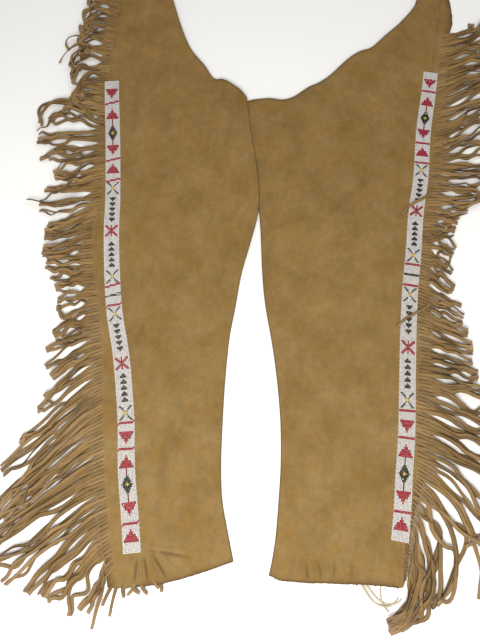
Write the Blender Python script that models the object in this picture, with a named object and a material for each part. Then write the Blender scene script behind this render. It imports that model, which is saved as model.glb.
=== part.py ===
"""A pair of fringed hide chaps with beaded side bands, laid flat on a surface.

Each leg is one hide folded down the inseam and sewn along the outer side, open at the hem
and along its slanting top. Beyond the seam both layers run on as a flap that is cut into
fringe. A loomed bead band covers the seam, and a folded strip at the top of each hip tab
makes the belt tunnel. X runs across the pair, Y from hem to waist, Z up from the surface.
Sizes in the tables and constants are millimetres.
"""

import math
import random
from collections import namedtuple

import bmesh
import bpy

MM = 0.001

# The middle of the laid-out pair, measured in the frame of the outline tables
CENTRE_X = 58.0
CENTRE_Y = 155.5

# Hide, layers and clearances
HIDE = 1.6
LAYER_GAP = 0.6
BASE_SWELL = 1.3
LARGEST_GAP = 3.4
FOLD_RADIUS = (2 * HIDE + LAYER_GAP) / 2
LEG_TOP = 2 * HIDE + LAYER_GAP
FLAT_EDGE = 26.0
SWELL_RAMP = 30.0
TAB_FLAT = 50.0
SEAM_CLEARANCE = 0.5
LIE_CLEARANCE = 0.3

# Where the left leg's inner edge climbs over the right leg
CLIMB = LEG_TOP + 0.6
CLIMB_START = 50.0
CLIMB_END = 22.0

# Grid of a leg: shares of the way across, from the inseam fold to the outer seam. The tab's
# inner corner lies on one of them.
LEFT_COLUMNS = (0.04, 0.09, 0.15, 0.22, 0.30, 0.38, 0.46, 0.54, 0.61, 0.68, 0.78, 0.88, 0.95)
LEFT_TAB_SHARE = 0.68
RIGHT_COLUMNS = (0.04, 0.09, 0.15, 0.23, 0.33, 0.43, 0.53, 0.63, 0.72, 0.79, 0.84, 0.90, 0.95)
RIGHT_TAB_SHARE = 0.84
LEG_ROWS = 24
EDGE_ANGLES = (-90, -30, 30, 90)

# Fineness of the smooth curves, and the angle from which an edge is shaded sharp
CURVE_STEPS = 12
EDGE_STEPS = 200
SHARP_ANGLE = 40.0

# Bead band
BAND_WIDTH = 24.0
BAND_THICKNESS = 1.8
BAND_INSET = 6.0
BAND_ROWS = 26

# Fringe
FRINGE_PITCH = 10.0
STRAND_WIDTH = 6.4
STRAND_THICKNESS = 1.5
STRAND_TAPER = 0.25
STRAND_RINGS = (0.0, 0.10, 0.28, 0.50, 0.75, 1.0)
LAYER_HEIGHTS = (0.4, 2.3, 4.2)
ARCH_HEIGHTS = (6.1, 8.0)
LAYER_TURNS = (-6.0, 1.0, 7.0)
STRAND_STEPS = 60
ROOT_EASE = 0.15
ROOT_TURN = 0.35
TURN_LATE = 1.4
TURN_SPREAD = 3.0
SHORTEST_STRETCH = 0.88
LONGEST_STRETCH = 1.08
FLAP_BOTTOM = 0.4
FLAP_TOP = LEG_TOP - 0.2

# Belt tunnel at the top of each hip tab
LOOP_WIDTH = 38.0
LOOP_DEPTH = 44.0
LOOP_INSIDE = 5.6
LOOP_LAP = 26.0
LOOP_BEND_STEPS = 6

# Lower and upper ends of the bands
LEFT_BAND_LOW = -337.0
LEFT_BAND_HIGH = 436.0
RIGHT_BAND_LOW = -322.0
RIGHT_BAND_HIGH = 451.0

Edge = namedtuple("Edge", "x y")
Fold = namedtuple("Fold", "x y turn length width height")
Fringe = namedtuple("Fringe", "y length start end")
Arch = namedtuple("Arch", "y length start end")

# Left leg: fold at the inseam from hem to crotch
LEFT_INSEAM = [
    Edge(-9, -348), Edge(-17, -310), Edge(-25, -266), Edge(-27, -215), Edge(-25, -150),
    Edge(-22, -95), Edge(-16, -30), Edge(-7, 20), Edge(2, 73), Edge(15, 121), Edge(29, 178),
    Edge(31, 222), Edge(26, 280), Edge(18, 335), Edge(12, 400),
]
# Left leg: cut edge from the crotch up to the inner corner of the hip tab
LEFT_TOP = [
    Edge(12, 400), Edge(0, 417), Edge(-29, 438), Edge(-46, 442), Edge(-62, 469),
    Edge(-87, 504), Edge(-105, 552), Edge(-123, 617), Edge(-133, 665), Edge(-138, 700),
]
LEFT_HEM = [Edge(-9, -348), Edge(-48, -361), Edge(-104, -376), Edge(-151, -381)]
LEFT_SEAM = [
    Edge(-151, -381), Edge(-154, -336), Edge(-160, -283), Edge(-168, -224), Edge(-171, -164),
    Edge(-176, -120), Edge(-186, -49), Edge(-199, 10), Edge(-208, 91), Edge(-213, 160),
    Edge(-213, 200), Edge(-221, 330), Edge(-229, 430), Edge(-228, 514), Edge(-222, 583),
    Edge(-217, 630), Edge(-200, 700),
]
# Left flap: the line where the cuts of the fringe begin, from hem to hip
LEFT_ROOTS = [
    Edge(-181, -366), Edge(-188, -340), Edge(-197, -300), Edge(-207, -225), Edge(-213, -165),
    Edge(-217, -100), Edge(-223, -45), Edge(-232, 22), Edge(-243, 66), Edge(-249, 115),
    Edge(-251, 161), Edge(-241, 195), Edge(-240, 260), Edge(-235, 300), Edge(-240, 350),
    Edge(-242, 416), Edge(-238, 465), Edge(-237, 514), Edge(-232, 583), Edge(-226, 625),
    Edge(-211, 690),
]
# Right leg
RIGHT_INSEAM = [
    Edge(39, -365), Edge(43, -350), Edge(49, -317), Edge(54, -270), Edge(58, -220),
    Edge(59, -165), Edge(57, -120), Edge(53, -75), Edge(48, -35), Edge(39, 24), Edge(35, 76),
    Edge(32, 169), Edge(25, 225), Edge(15, 300), Edge(5, 394),
]
RIGHT_TOP = [
    Edge(5, 394), Edge(16, 398), Edge(48, 401), Edge(74, 398), Edge(93, 404), Edge(118, 423),
    Edge(139, 434), Edge(161, 452), Edge(189, 482), Edge(212, 499), Edge(234, 508),
    Edge(260, 534), Edge(291, 565), Edge(321, 606), Edge(331, 655), Edge(343, 700),
]
RIGHT_HEM = [Edge(39, -365), Edge(62, -373), Edge(125, -376), Edge(166, -377), Edge(218, -381)]
RIGHT_SEAM = [
    Edge(218, -381), Edge(226, -322), Edge(233, -282), Edge(239, -232), Edge(247, -180),
    Edge(251, -139), Edge(257, -73), Edge(263, -14), Edge(272, 59), Edge(279, 95),
    Edge(291, 183), Edge(299, 217), Edge(306, 254), Edge(314, 318), Edge(322, 364),
    Edge(330, 398), Edge(341, 460), Edge(355, 530), Edge(368, 600), Edge(384, 700),
]
RIGHT_ROOTS = [
    Edge(228, -368), Edge(235, -330), Edge(243, -295), Edge(257, -255), Edge(267, -225),
    Edge(269, -165), Edge(279, -96), Edge(285, -50), Edge(286, 15), Edge(292, 60),
    Edge(299, 110), Edge(310, 155), Edge(319, 190), Edge(324, 225), Edge(334, 265),
    Edge(346, 340), Edge(353, 402), Edge(366, 482), Edge(374, 528), Edge(385, 560),
    Edge(387, 593), Edge(385, 640), Edge(392, 690),
]

# Broad soft folds of the front layers: middle, turn from X in degrees, size, rise (+) or dip (-)
LEFT_FOLDS = [
    Fold(-120, 420, 75, 260, 26, 1.0),
    Fold(-70, 300, 110, 240, 30, 1.1),
    Fold(-150, 230, 92, 200, 20, -0.9),
    Fold(-95, 90, 84, 260, 28, 1.0),
    Fold(-150, -40, 98, 200, 20, -1.0),
    Fold(-85, -170, 88, 240, 24, 1.0),
    Fold(-110, -330, 20, 110, 16, 0.8),
]
RIGHT_FOLDS = [
    Fold(250, 470, 55, 260, 30, 1.0),
    Fold(120, 330, 150, 220, 28, -0.9),
    Fold(190, 250, 40, 220, 22, 1.1),
    Fold(120, 120, 95, 280, 30, 1.0),
    Fold(210, 20, 84, 220, 22, -0.9),
    Fold(130, -150, 92, 260, 28, 1.0),
    Fold(150, -320, 165, 120, 18, 0.8),
]

# Lie of the fringe at heights up the flap: strand length, then heading in degrees from
# straight out, towards the waist when positive, near the root and at the tip
LEFT_LIE = [
    Fringe(-366, 52, -70, -44), Fringe(-345, 80, -52, -50), Fringe(-322, 112, -46, -50),
    Fringe(-290, 148, -42, -47), Fringe(-250, 180, -35, -44), Fringe(-205, 186, -36, -42),
    Fringe(-160, 186, -42, -44), Fringe(-118, 172, -44, -46), Fringe(-95, 116, -42, -44),
    Fringe(-60, 84, -34, -38), Fringe(-30, 76, -30, -30), Fringe(0, 66, -24, -20),
    Fringe(28, 56, -16, -20), Fringe(45, 42, -8, 0), Fringe(85, 60, -8, 2),
    Fringe(120, 66, -16, 0), Fringe(160, 72, -30, -2), Fringe(200, 84, -26, 6),
    Fringe(222, 104, -14, 0), Fringe(250, 74, -22, -8), Fringe(285, 82, -16, -12),
    Fringe(315, 100, -4, -10), Fringe(345, 104, 6, -4), Fringe(375, 84, 12, -22),
    Fringe(410, 70, 8, -40), Fringe(450, 66, -2, -50), Fringe(500, 84, 8, -50),
    Fringe(550, 66, 12, -44), Fringe(600, 62, 18, -20), Fringe(668, 66, 16, 34),
]
RIGHT_LIE = [
    Fringe(-368, 76, -82, -136), Fringe(-340, 104, -74, -124), Fringe(-310, 126, -68, -114),
    Fringe(-280, 144, -62, -104), Fringe(-250, 154, -54, -94), Fringe(-225, 148, -44, -68),
    Fringe(-200, 142, -34, -30), Fringe(-160, 140, -30, -22), Fringe(-115, 116, -22, -20),
    Fringe(-85, 88, -14, -12), Fringe(-55, 74, -18, 0), Fringe(-20, 70, -26, -4),
    Fringe(15, 68, -32, -12), Fringe(50, 56, -36, -28), Fringe(85, 48, -30, -36),
    Fringe(120, 42, -10, -36), Fringe(150, 34, -2, -14), Fringe(175, 44, -8, 10),
    Fringe(205, 78, -10, 10), Fringe(240, 106, -8, -2), Fringe(268, 104, 2, 10),
    Fringe(300, 84, 18, 32), Fringe(345, 110, 24, 26), Fringe(390, 124, 28, 16),
    Fringe(440, 126, 22, 6), Fringe(490, 112, 14, -10), Fringe(520, 84, 14, 26),
    Fringe(536, 56, 16, 78),
]
# Single strands that arch over the rest
LEFT_ARCHES = [
    Arch(346, 166, 52, -120), Arch(366, 140, 40, -104), Arch(490, 104, 38, -96),
    Arch(520, 98, 30, -112), Arch(-352, 84, -98, -56), Arch(262, 104, -4, -84),
]
RIGHT_ARCHES = [
    Arch(470, 140, 34, -66), Arch(430, 140, 40, -36), Arch(214, 92, -14, 56),
    Arch(-205, 150, -6, -90), Arch(-262, 165, -30, -124),
]
FRINGE_TOP = {"left": 668.0, "right": 538.0}


def smooth_path(points, shares):
    """Points at these shares of the length of a smooth curve through the table's points."""
    ends = [points[0]] + list(points) + [points[-1]]
    dense = []
    for before, here, there, after in zip(ends, ends[1:], ends[2:], ends[3:]):
        for step in range(CURVE_STEPS):
            t = step / CURVE_STEPS
            weights = (
                (-t + 2 * t**2 - t**3) / 2,
                (2 - 5 * t**2 + 3 * t**3) / 2,
                (t + 4 * t**2 - 3 * t**3) / 2,
                (-(t**2) + t**3) / 2,
            )
            four = (before, here, there, after)
            x = sum(w * p.x for w, p in zip(weights, four))
            y = sum(w * p.y for w, p in zip(weights, four))
            dense.append((x, y))
    dense.append((points[-1].x, points[-1].y))
    run = [0.0]
    for (ax, ay), (bx, by) in zip(dense, dense[1:]):
        run.append(run[-1] + math.hypot(bx - ax, by - ay))
    found = []
    place = 0
    for share in shares:
        want = share * run[-1]
        while place < len(run) - 2 and run[place + 1] < want:
            place += 1
        part = (want - run[place]) / max(run[place + 1] - run[place], 1e-9)
        (ax, ay), (bx, by) = dense[place], dense[place + 1]
        found.append((ax + part * (bx - ax), ay + part * (by - ay)))
    return found


def across_at(line, y):
    """X of a polyline that climbs in Y, straight between its points and level past its ends."""
    for (ax, ay), (bx, by) in zip(line, line[1:]):
        if y <= by:
            part = min(max((y - ay) / (by - ay), 0.0), 1.0)
            return ax + part * (bx - ax)
    return line[-1][0]


def between_rows(rows, y):
    """The columns of a table at this height, straight between its rows."""
    if y <= rows[0].y:
        return rows[0]
    for low, high in zip(rows, rows[1:]):
        if y <= high.y:
            part = (y - low.y) / (high.y - low.y)
            return Fringe(*(a + part * (b - a) for a, b in zip(low, high)))
    return rows[-1]


def soft_step(value):
    value = min(max(value, 0.0), 1.0)
    return value * value * (3 - 2 * value)


def mesh_object(name, points, faces, material):
    """A closed mesh object from points in millimetres of the outline frame."""
    shape = bmesh.new()
    corners = [
        shape.verts.new(((x - CENTRE_X) * MM, (y - CENTRE_Y) * MM, z * MM)) for x, y, z in points
    ]
    for face in faces:
        shape.faces.new([corners[i] for i in face])
    bmesh.ops.recalc_face_normals(shape, faces=shape.faces)
    mesh = bpy.data.meshes.new(name)
    shape.to_mesh(mesh)
    shape.free()
    mesh.materials.append(material)
    mesh.shade_smooth()
    mesh.set_sharp_from_angle(angle=math.radians(SHARP_ANGLE))
    made = bpy.data.objects.new(name, mesh)
    bpy.context.scene.collection.objects.link(made)
    return made


def finish(name, colour, roughness):
    material = bpy.data.materials.new(name)
    material.use_nodes = True
    shader = material.node_tree.nodes["Principled BSDF"]
    shader.inputs["Base Color"].default_value = (*colour, 1.0)
    shader.inputs["Roughness"].default_value = roughness
    shader.inputs["Metallic"].default_value = 0.0
    return material


def row_line(edge):
    """A leg's edge as the straight stretches between its rows, from hem to top."""
    dense = smooth_path(edge, [step / EDGE_STEPS for step in range(EDGE_STEPS + 1)])
    low, high = edge[0].y, edge[-1].y
    heights = [low + (high - low) * row / (LEG_ROWS - 1) for row in range(LEG_ROWS)]
    return [(across_at(dense, y), y) for y in heights]


def bow(line, y):
    """How far an edge bows to the right of the straight line between its ends, at this height."""
    (ax, ay), (bx, by) = line[0], line[-1]
    part = min(max((y - ay) / (by - ay), 0.0), 1.0)
    return across_at(line, y) - (ax + part * (bx - ax))


def leg_grid(inseam, top, hem, seam, tab_share, columns):
    """Rows of points between a leg's four edges: straight columns from hem to top, bowed sideways."""
    inner = row_line(inseam)
    outer = row_line(seam)
    spread = [0.0] + list(columns) + [1.0]
    low = smooth_path(hem, spread)
    tab_inner, tab_outer = top[-1], seam[-1]
    high = smooth_path(top, [u / tab_share for u in spread if u <= tab_share])
    for u in spread[len(high):]:
        part = (u - tab_share) / (1 - tab_share)
        x = tab_inner.x + part * (tab_outer.x - tab_inner.x)
        y = tab_inner.y + part * (tab_outer.y - tab_inner.y)
        high.append((x, y))
    grid = []
    for row in range(LEG_ROWS):
        v = row / (LEG_ROWS - 1)
        line = []
        for u, below, above in zip(spread, low, high):
            sideways = []
            y = below[1] + v * (above[1] - below[1])
            for level in (y, below[1], above[1]):
                sideways.append((1 - u) * bow(inner, level) + u * bow(outer, level))
            x = below[0] + v * (above[0] - below[0])
            x += sideways[0] - (1 - v) * sideways[1] - v * sideways[2]
            line.append((x, y))
        grid.append(line)
    return grid


def fold_rise(folds, x, y):
    """How far the broad folds lift or lower the front layer here."""
    rise = 0.0
    for fold in folds:
        turn = math.radians(fold.turn)
        along = (x - fold.x) * math.cos(turn) + (y - fold.y) * math.sin(turn)
        away = (y - fold.y) * math.cos(turn) - (x - fold.x) * math.sin(turn)
        reach = 1 - soft_step(abs(2 * along / fold.length))
        rise += fold.height * reach * math.exp(-((away / fold.width) ** 2))
    return rise


def layer_gap(folds, point, row, tab_height):
    """Air between the layers: least along the inseam, the seam and the end of the hip tab."""
    below_tab = tab_height - TAB_FLAT - point[1]
    edge = min(math.dist(point, row[0]), math.dist(point, row[-1]), below_tab)
    swell = soft_step((edge - FLAT_EDGE) / SWELL_RAMP)
    gap = LAYER_GAP + swell * (BASE_SWELL + fold_rise(folds, *point))
    return min(max(gap, LAYER_GAP), LARGEST_GAP)


def climb_at(under_edge, x, y):
    """Lift of a layer that lies over the neighbouring leg, from the line of that leg's edge."""
    if not under_edge:
        return 0.0
    before_edge = across_at(under_edge, y) - x
    return CLIMB * soft_step((CLIMB_START - before_edge) / (CLIMB_START - CLIMB_END))


def leg(name, edges, columns, tab_share, folds, under_edge, material):
    """One folded hide: a flat tube, open at the hem and along its top."""
    grid = leg_grid(*edges, tab_share, columns)
    points = []
    for wall in (0.0, HIDE):
        for row in grid:
            ring = [(x, y, wall) for x, y in reversed(row[1:-1])]
            for edge, beside, order in ((row[0], row[1], 1), (row[-1], row[-2], -1)):
                reach = math.dist(edge, beside)
                out = ((edge[0] - beside[0]) / reach, (edge[1] - beside[1]) / reach)
                middle = (edge[0] - FOLD_RADIUS * out[0], edge[1] - FOLD_RADIUS * out[1])
                for angle in EDGE_ANGLES[::order]:
                    turn = math.radians(angle)
                    wide = (FOLD_RADIUS - wall) * math.cos(turn)
                    high = FOLD_RADIUS + (FOLD_RADIUS - wall) * math.sin(turn)
                    ring.append((middle[0] + wide * out[0], middle[1] + wide * out[1], high))
                if order == 1:
                    for x, y in row[1:-1]:
                        gap = layer_gap(folds, (x, y), row, grid[-1][-1][1])
                        ring.append((x, y, 2 * HIDE + gap - wall))
            points.extend((x, y, z + climb_at(under_edge, x, y)) for x, y, z in ring)
    around = len(points) // (2 * LEG_ROWS)
    inside = around * LEG_ROWS
    faces = []
    for start in (0, inside):
        for row in range(LEG_ROWS - 1):
            for i in range(around):
                a = start + row * around + i
                b = start + row * around + (i + 1) % around
                faces.append((a, b, b + around, a + around))
    for row in (0, LEG_ROWS - 1):
        for i in range(around):
            a = row * around + i
            b = row * around + (i + 1) % around
            faces.append((a, b, b + inside, a + inside))
    return mesh_object(name, points, faces, material)


def strand_route(root, out, lie, shares):
    """Points and headings of a strand on the surface, whose heading turns along its length."""
    x, y = root
    track = [(x, y, 0.0)]
    for step in range(STRAND_STEPS):
        share = (step + 0.5) / STRAND_STEPS
        ease = min(1.0, ROOT_TURN + (1 - ROOT_TURN) * share / ROOT_EASE)
        bend = max(0.0, share - ROOT_EASE) / (1 - ROOT_EASE)
        heading = math.radians(ease * lie.start + bend**TURN_LATE * (lie.end - lie.start))
        x += out * math.cos(heading) * lie.length / STRAND_STEPS
        y += math.sin(heading) * lie.length / STRAND_STEPS
        track.append((x, y, heading))
    return [track[round(share * STRAND_STEPS)] for share in shares]


def strand_plan(side, rows, roots, lies, arches, seed):
    """For each row of the flap, the lie and the height of its strand, or None above the fringe."""
    draw = random.Random(seed)
    plan = []
    for row in range(rows):
        y = roots[row][1]
        layer = row % len(LAYER_HEIGHTS)
        lie = between_rows(lies, y)
        turn = LAYER_TURNS[layer] + draw.uniform(-TURN_SPREAD, TURN_SPREAD)
        stretch = draw.uniform(SHORTEST_STRETCH, LONGEST_STRETCH)
        lie = Fringe(y, lie.length * stretch, lie.start + turn * 0.5, lie.end + turn)
        plan.append((lie, LAYER_HEIGHTS[layer]) if y <= FRINGE_TOP[side] else None)
    for number, arch in enumerate(arches):
        nearest = min(range(rows), key=lambda row: abs(roots[row][1] - arch.y))
        plan[nearest] = (arch, ARCH_HEIGHTS[number % len(ARCH_HEIGHTS)])
    return plan


def fringe(name, side, seam, root_edge, lies, arches, seed, material):
    """The flap beyond the seam, with one three-sided strand growing from each of its rows."""
    out = -1 if side == "left" else 1
    seam_points = row_line(seam)
    length = root_edge[-1].y - root_edge[0].y
    rows = round(length / FRINGE_PITCH)
    roots = smooth_path(root_edge, [row / (rows - 1) for row in range(rows)])
    seam_low, seam_high = seam_points[0][1], seam_points[-1][1]
    plan = strand_plan(side, rows, roots, lies, arches, seed)
    points = []
    faces = []
    corners = []
    half = STRAND_WIDTH / 2
    for row, (x, y) in enumerate(roots):
        seam_y = seam_low + (seam_high - seam_low) * row / (rows - 1)
        seam_x = across_at(seam_points, seam_y) + out * SEAM_CLEARANCE
        start = len(points)
        points.append((seam_x, seam_y, FLAP_TOP))
        points.append((seam_x, seam_y, FLAP_BOTTOM))
        points.append((x, y, FLAP_TOP))
        points.append((x, y - half, FLAP_BOTTOM))
        points.append((x, y + half, FLAP_BOTTOM))
        corners.append(range(start, start + 5))
    for here, there in zip(corners, corners[1:]):
        top_in, low_in, top_out, near, far = here
        next_top_in, next_low_in, next_top_out, next_near, _ = there
        faces.append((top_in, next_top_in, next_top_out, top_out))
        faces.append((low_in, far, next_near, next_low_in))
        faces.append((low_in, near, far))
        faces.append((top_in, low_in, next_low_in, next_top_in))
        faces.append((top_out, far, next_near, next_top_out))
    top_in, low_in, top_out, near, far = corners[0]
    faces.append((top_in, top_out, near, low_in))
    top_in, low_in, top_out, near, far = corners[-1]
    faces.append((top_in, top_out, far, low_in))
    faces.append((low_in, near, far))
    for (x, y), corner, strand in zip(roots, corners, plan):
        _, _, top_out, near, far = corner
        ring = (near, far, top_out)
        if strand is None:
            faces.append(ring)
            continue
        lie, height = strand
        route = strand_route((x, y), out, lie, STRAND_RINGS)
        for share, (cx, cy, heading) in list(zip(STRAND_RINGS, route))[1:]:
            width = half * (1 - STRAND_TAPER * share)
            side_x = -math.sin(heading) * out
            side_y = math.cos(heading)
            start = len(points)
            points.append((cx - side_x * width, cy - side_y * width, height))
            points.append((cx + side_x * width, cy + side_y * width, height))
            points.append((cx, cy, height + STRAND_THICKNESS))
            new = (start, start + 1, start + 2)
            for i in range(3):
                j = (i + 1) % 3
                faces.append((ring[i], ring[j], new[j], new[i]))
            ring = new
        faces.append(ring)
    return mesh_object(name, points, faces, material)


def bead_band(name, side, seam, low, high, material):
    """The loomed band, which covers the seam and follows it."""
    inward = 1 if side == "left" else -1
    line = row_line(seam)
    bottom = LEG_TOP + LIE_CLEARANCE
    points = []
    faces = []
    for row in range(BAND_ROWS):
        y = low + (high - low) * row / (BAND_ROWS - 1)
        middle = across_at(line, y) + inward * BAND_INSET
        for across, height in ((-1, 0.0), (1, 0.0), (1, BAND_THICKNESS), (-1, BAND_THICKNESS)):
            points.append((middle + across * BAND_WIDTH / 2, y, bottom + height))
    for row in range(BAND_ROWS - 1):
        for i in range(4):
            a = 4 * row + i
            b = 4 * row + (i + 1) % 4
            faces.append((a, b, b + 4, a + 4))
    last = 4 * (BAND_ROWS - 1)
    faces.append((0, 1, 2, 3))
    faces.append((last, last + 1, last + 2, last + 3))
    return mesh_object(name, points, faces, material)


def belt_loop(name, top, seam, material):
    """A strip folded into a tunnel for the belt: it starts at the tab's end and laps its front."""
    tab_y = top[-1].y
    middle = (top[-1].x + seam[-1].x) / 2
    bend = (LOOP_INSIDE + HIDE) / 2
    low = HIDE / 2
    lap = LEG_TOP + LIE_CLEARANCE + HIDE / 2
    spine = [(tab_y + LIE_CLEARANCE, low), (tab_y + LOOP_DEPTH / 2, low)]
    for step in range(LOOP_BEND_STEPS + 1):
        turn = math.radians(-90 + 180 * step / LOOP_BEND_STEPS)
        spine.append((
            tab_y + LOOP_DEPTH + bend * math.cos(turn),
            low + bend + bend * math.sin(turn),
        ))
    spine.append((tab_y + LOOP_DEPTH / 2, low + 2 * bend))
    spine.append((tab_y + LOOP_DEPTH / 4, low + 2 * bend))
    spine.append((tab_y - LOOP_LAP / 8, lap))
    spine.append((tab_y - LOOP_LAP, lap))
    outline = []
    for hand in (1, -1):
        path = []
        for i, (y, z) in enumerate(spine):
            before = spine[max(i - 1, 0)]
            after = spine[min(i + 1, len(spine) - 1)]
            reach = math.dist(before, after)
            normal = ((after[1] - before[1]) / reach, (before[0] - after[0]) / reach)
            path.append((y + hand * normal[0] * HIDE / 2, z + hand * normal[1] * HIDE / 2))
        outline.extend(path if hand == 1 else reversed(path))
    count = len(outline)
    points = []
    for x in (middle - LOOP_WIDTH / 2, middle + LOOP_WIDTH / 2):
        points.extend((x, y, z) for y, z in outline)
    faces = [tuple(range(count)), tuple(range(count, 2 * count))]
    for i in range(count):
        j = (i + 1) % count
        faces.append((i, j, j + count, i + count))
    return mesh_object(name, points, faces, material)


for old in list(bpy.data.objects):
    bpy.data.objects.remove(old)

hide = finish("golden_hide", (0.37, 0.23, 0.085), 0.92)
fringe_hide = finish("fringe_hide", (0.34, 0.21, 0.09), 0.92)
beads = finish("glass_beads", (0.72, 0.70, 0.66), 0.35)

right_edges = (RIGHT_INSEAM, RIGHT_TOP, RIGHT_HEM, RIGHT_SEAM)
left_edges = (LEFT_INSEAM, LEFT_TOP, LEFT_HEM, LEFT_SEAM)
under_edge = row_line(RIGHT_INSEAM)
leg("leg_right", right_edges, RIGHT_COLUMNS, RIGHT_TAB_SHARE, RIGHT_FOLDS, [], hide)
leg("leg_left", left_edges, LEFT_COLUMNS, LEFT_TAB_SHARE, LEFT_FOLDS, under_edge, hide)
fringe("fringe_left", "left", LEFT_SEAM, LEFT_ROOTS, LEFT_LIE, LEFT_ARCHES, 4, fringe_hide)
fringe("fringe_right", "right", RIGHT_SEAM, RIGHT_ROOTS, RIGHT_LIE, RIGHT_ARCHES, 7, fringe_hide)
bead_band("bead_band_left", "left", LEFT_SEAM, LEFT_BAND_LOW, LEFT_BAND_HIGH, beads)
bead_band("bead_band_right", "right", RIGHT_SEAM, RIGHT_BAND_LOW, RIGHT_BAND_HIGH, beads)
belt_loop("belt_loop_left", LEFT_TOP, LEFT_SEAM, hide)
belt_loop("belt_loop_right", RIGHT_TOP, RIGHT_SEAM, hide)
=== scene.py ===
"""A pair of fringed golden hide chaps with beaded side bands, laid flat on a pale surface.

Lengths in the tables and values are millimetres on the surface that the pair lies on, from
the spot that the camera looks at, with x across the pair and y towards the waist.
"""

import math
import random
from collections import namedtuple

import bmesh
import bpy
import numpy as np
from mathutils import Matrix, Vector, noise


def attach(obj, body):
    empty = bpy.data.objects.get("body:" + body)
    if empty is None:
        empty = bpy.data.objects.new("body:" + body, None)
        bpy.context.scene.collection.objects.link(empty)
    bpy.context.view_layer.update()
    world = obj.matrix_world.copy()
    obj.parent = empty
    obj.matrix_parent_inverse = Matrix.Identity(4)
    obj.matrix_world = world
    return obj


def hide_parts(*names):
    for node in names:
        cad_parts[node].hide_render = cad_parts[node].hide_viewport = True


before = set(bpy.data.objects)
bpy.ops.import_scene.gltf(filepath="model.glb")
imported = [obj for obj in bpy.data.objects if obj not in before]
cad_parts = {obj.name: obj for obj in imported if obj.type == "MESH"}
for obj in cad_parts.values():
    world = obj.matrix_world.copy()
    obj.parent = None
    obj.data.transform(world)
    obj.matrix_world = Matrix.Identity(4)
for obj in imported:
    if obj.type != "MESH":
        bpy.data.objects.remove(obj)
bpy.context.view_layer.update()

# The surface, the light and the camera
# The pair lies on a pale matt board. A large soft lamp stands on the hem side, so the hide
# darkens a little towards the waist, and the camera leans over it from the hem side too.
view_spot = Vector((-0.058, -0.1555, 0.0))
camera_lean = math.radians(18)
camera_reach = 0.985

camera_lens = bpy.data.cameras.new("camera_over_the_hems")
camera_lens.sensor_fit = "VERTICAL"
camera_lens.sensor_height = 36
camera_lens.lens = 36
camera = bpy.data.objects.new("camera_over_the_hems", camera_lens)
camera.location = view_spot + camera_reach * Vector((0, -math.sin(camera_lean), math.cos(camera_lean)))
camera.rotation_euler = (camera_lean, 0, 0)
bpy.context.scene.collection.objects.link(camera)
bpy.context.scene.camera = camera
bpy.context.scene.view_settings.view_transform = "Standard"


def soft_lamp(name, place, aim, width, power, warmth):
    """A square lamp that faces a spot on the pair."""
    lamp = bpy.data.lights.new(name, "AREA")
    lamp.size = width
    lamp.energy = power
    lamp.color = warmth
    holder = bpy.data.objects.new(name, lamp)
    holder.location = place
    holder.rotation_euler = (Vector(aim) - Vector(place)).to_track_quat("-Z", "Y").to_euler()
    bpy.context.scene.collection.objects.link(holder)


soft_lamp("lamp_at_the_hems", (-0.18, -0.9, 0.98), (-0.02, 0.0, 0.0), 0.6, 17, (1.0, 0.97, 0.92))
soft_lamp("lamp_at_the_waist", (1.1, 0.9, 1.7), (0.0, 0.1, 0.0), 1.4, 5, (0.95, 0.98, 1.0))

room = bpy.data.worlds.new("pale_room")
room.use_nodes = True
room.node_tree.nodes["Background"].inputs["Color"].default_value = (1.0, 1.0, 1.0, 1.0)
room.node_tree.nodes["Background"].inputs["Strength"].default_value = 0.52
bpy.context.scene.world = room

board_mesh = bpy.data.meshes.new("pale_board")
board_mesh.from_pydata(
    [(-4, -4, -0.0003), (4, -4, -0.0003), (4, 4, -0.0003), (-4, 4, -0.0003)], [], [(0, 1, 2, 3)]
)
board = bpy.data.objects.new("pale_board", board_mesh)
bpy.context.scene.collection.objects.link(board)
board_paint = bpy.data.materials.new("pale_board_paint")
board_paint.use_nodes = True
board_shader = board_paint.node_tree.nodes["Principled BSDF"]
board_shader.inputs["Base Color"].default_value = (0.92, 0.915, 0.90, 1.0)
board_shader.inputs["Roughness"].default_value = 0.9
board_mesh.materials.append(board_paint)

# The legs
# Each is one golden hide with its nap outwards, folded down the inseam and sewn along the
# outer side, so it is a flat tube, open at the hem and along its slanting top. The left one
# lies over the right one's inner edge at the crotch.
MM = 0.001
centre_x = 58.0
centre_y = 155.5
hide_thickness = 1.6
layer_gap = 0.6
base_swell = 1.3
largest_gap = 3.4
leg_top = 2 * hide_thickness + layer_gap
fold_radius = leg_top / 2
flat_edge = 26.0
swell_ramp = 30.0
tab_flat = 50.0
climb = leg_top + 0.6
climb_start = 50.0
climb_end = 22.0

Edge = namedtuple("Edge", "x y")
Fold = namedtuple("Fold", "x y turn length width height")

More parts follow.
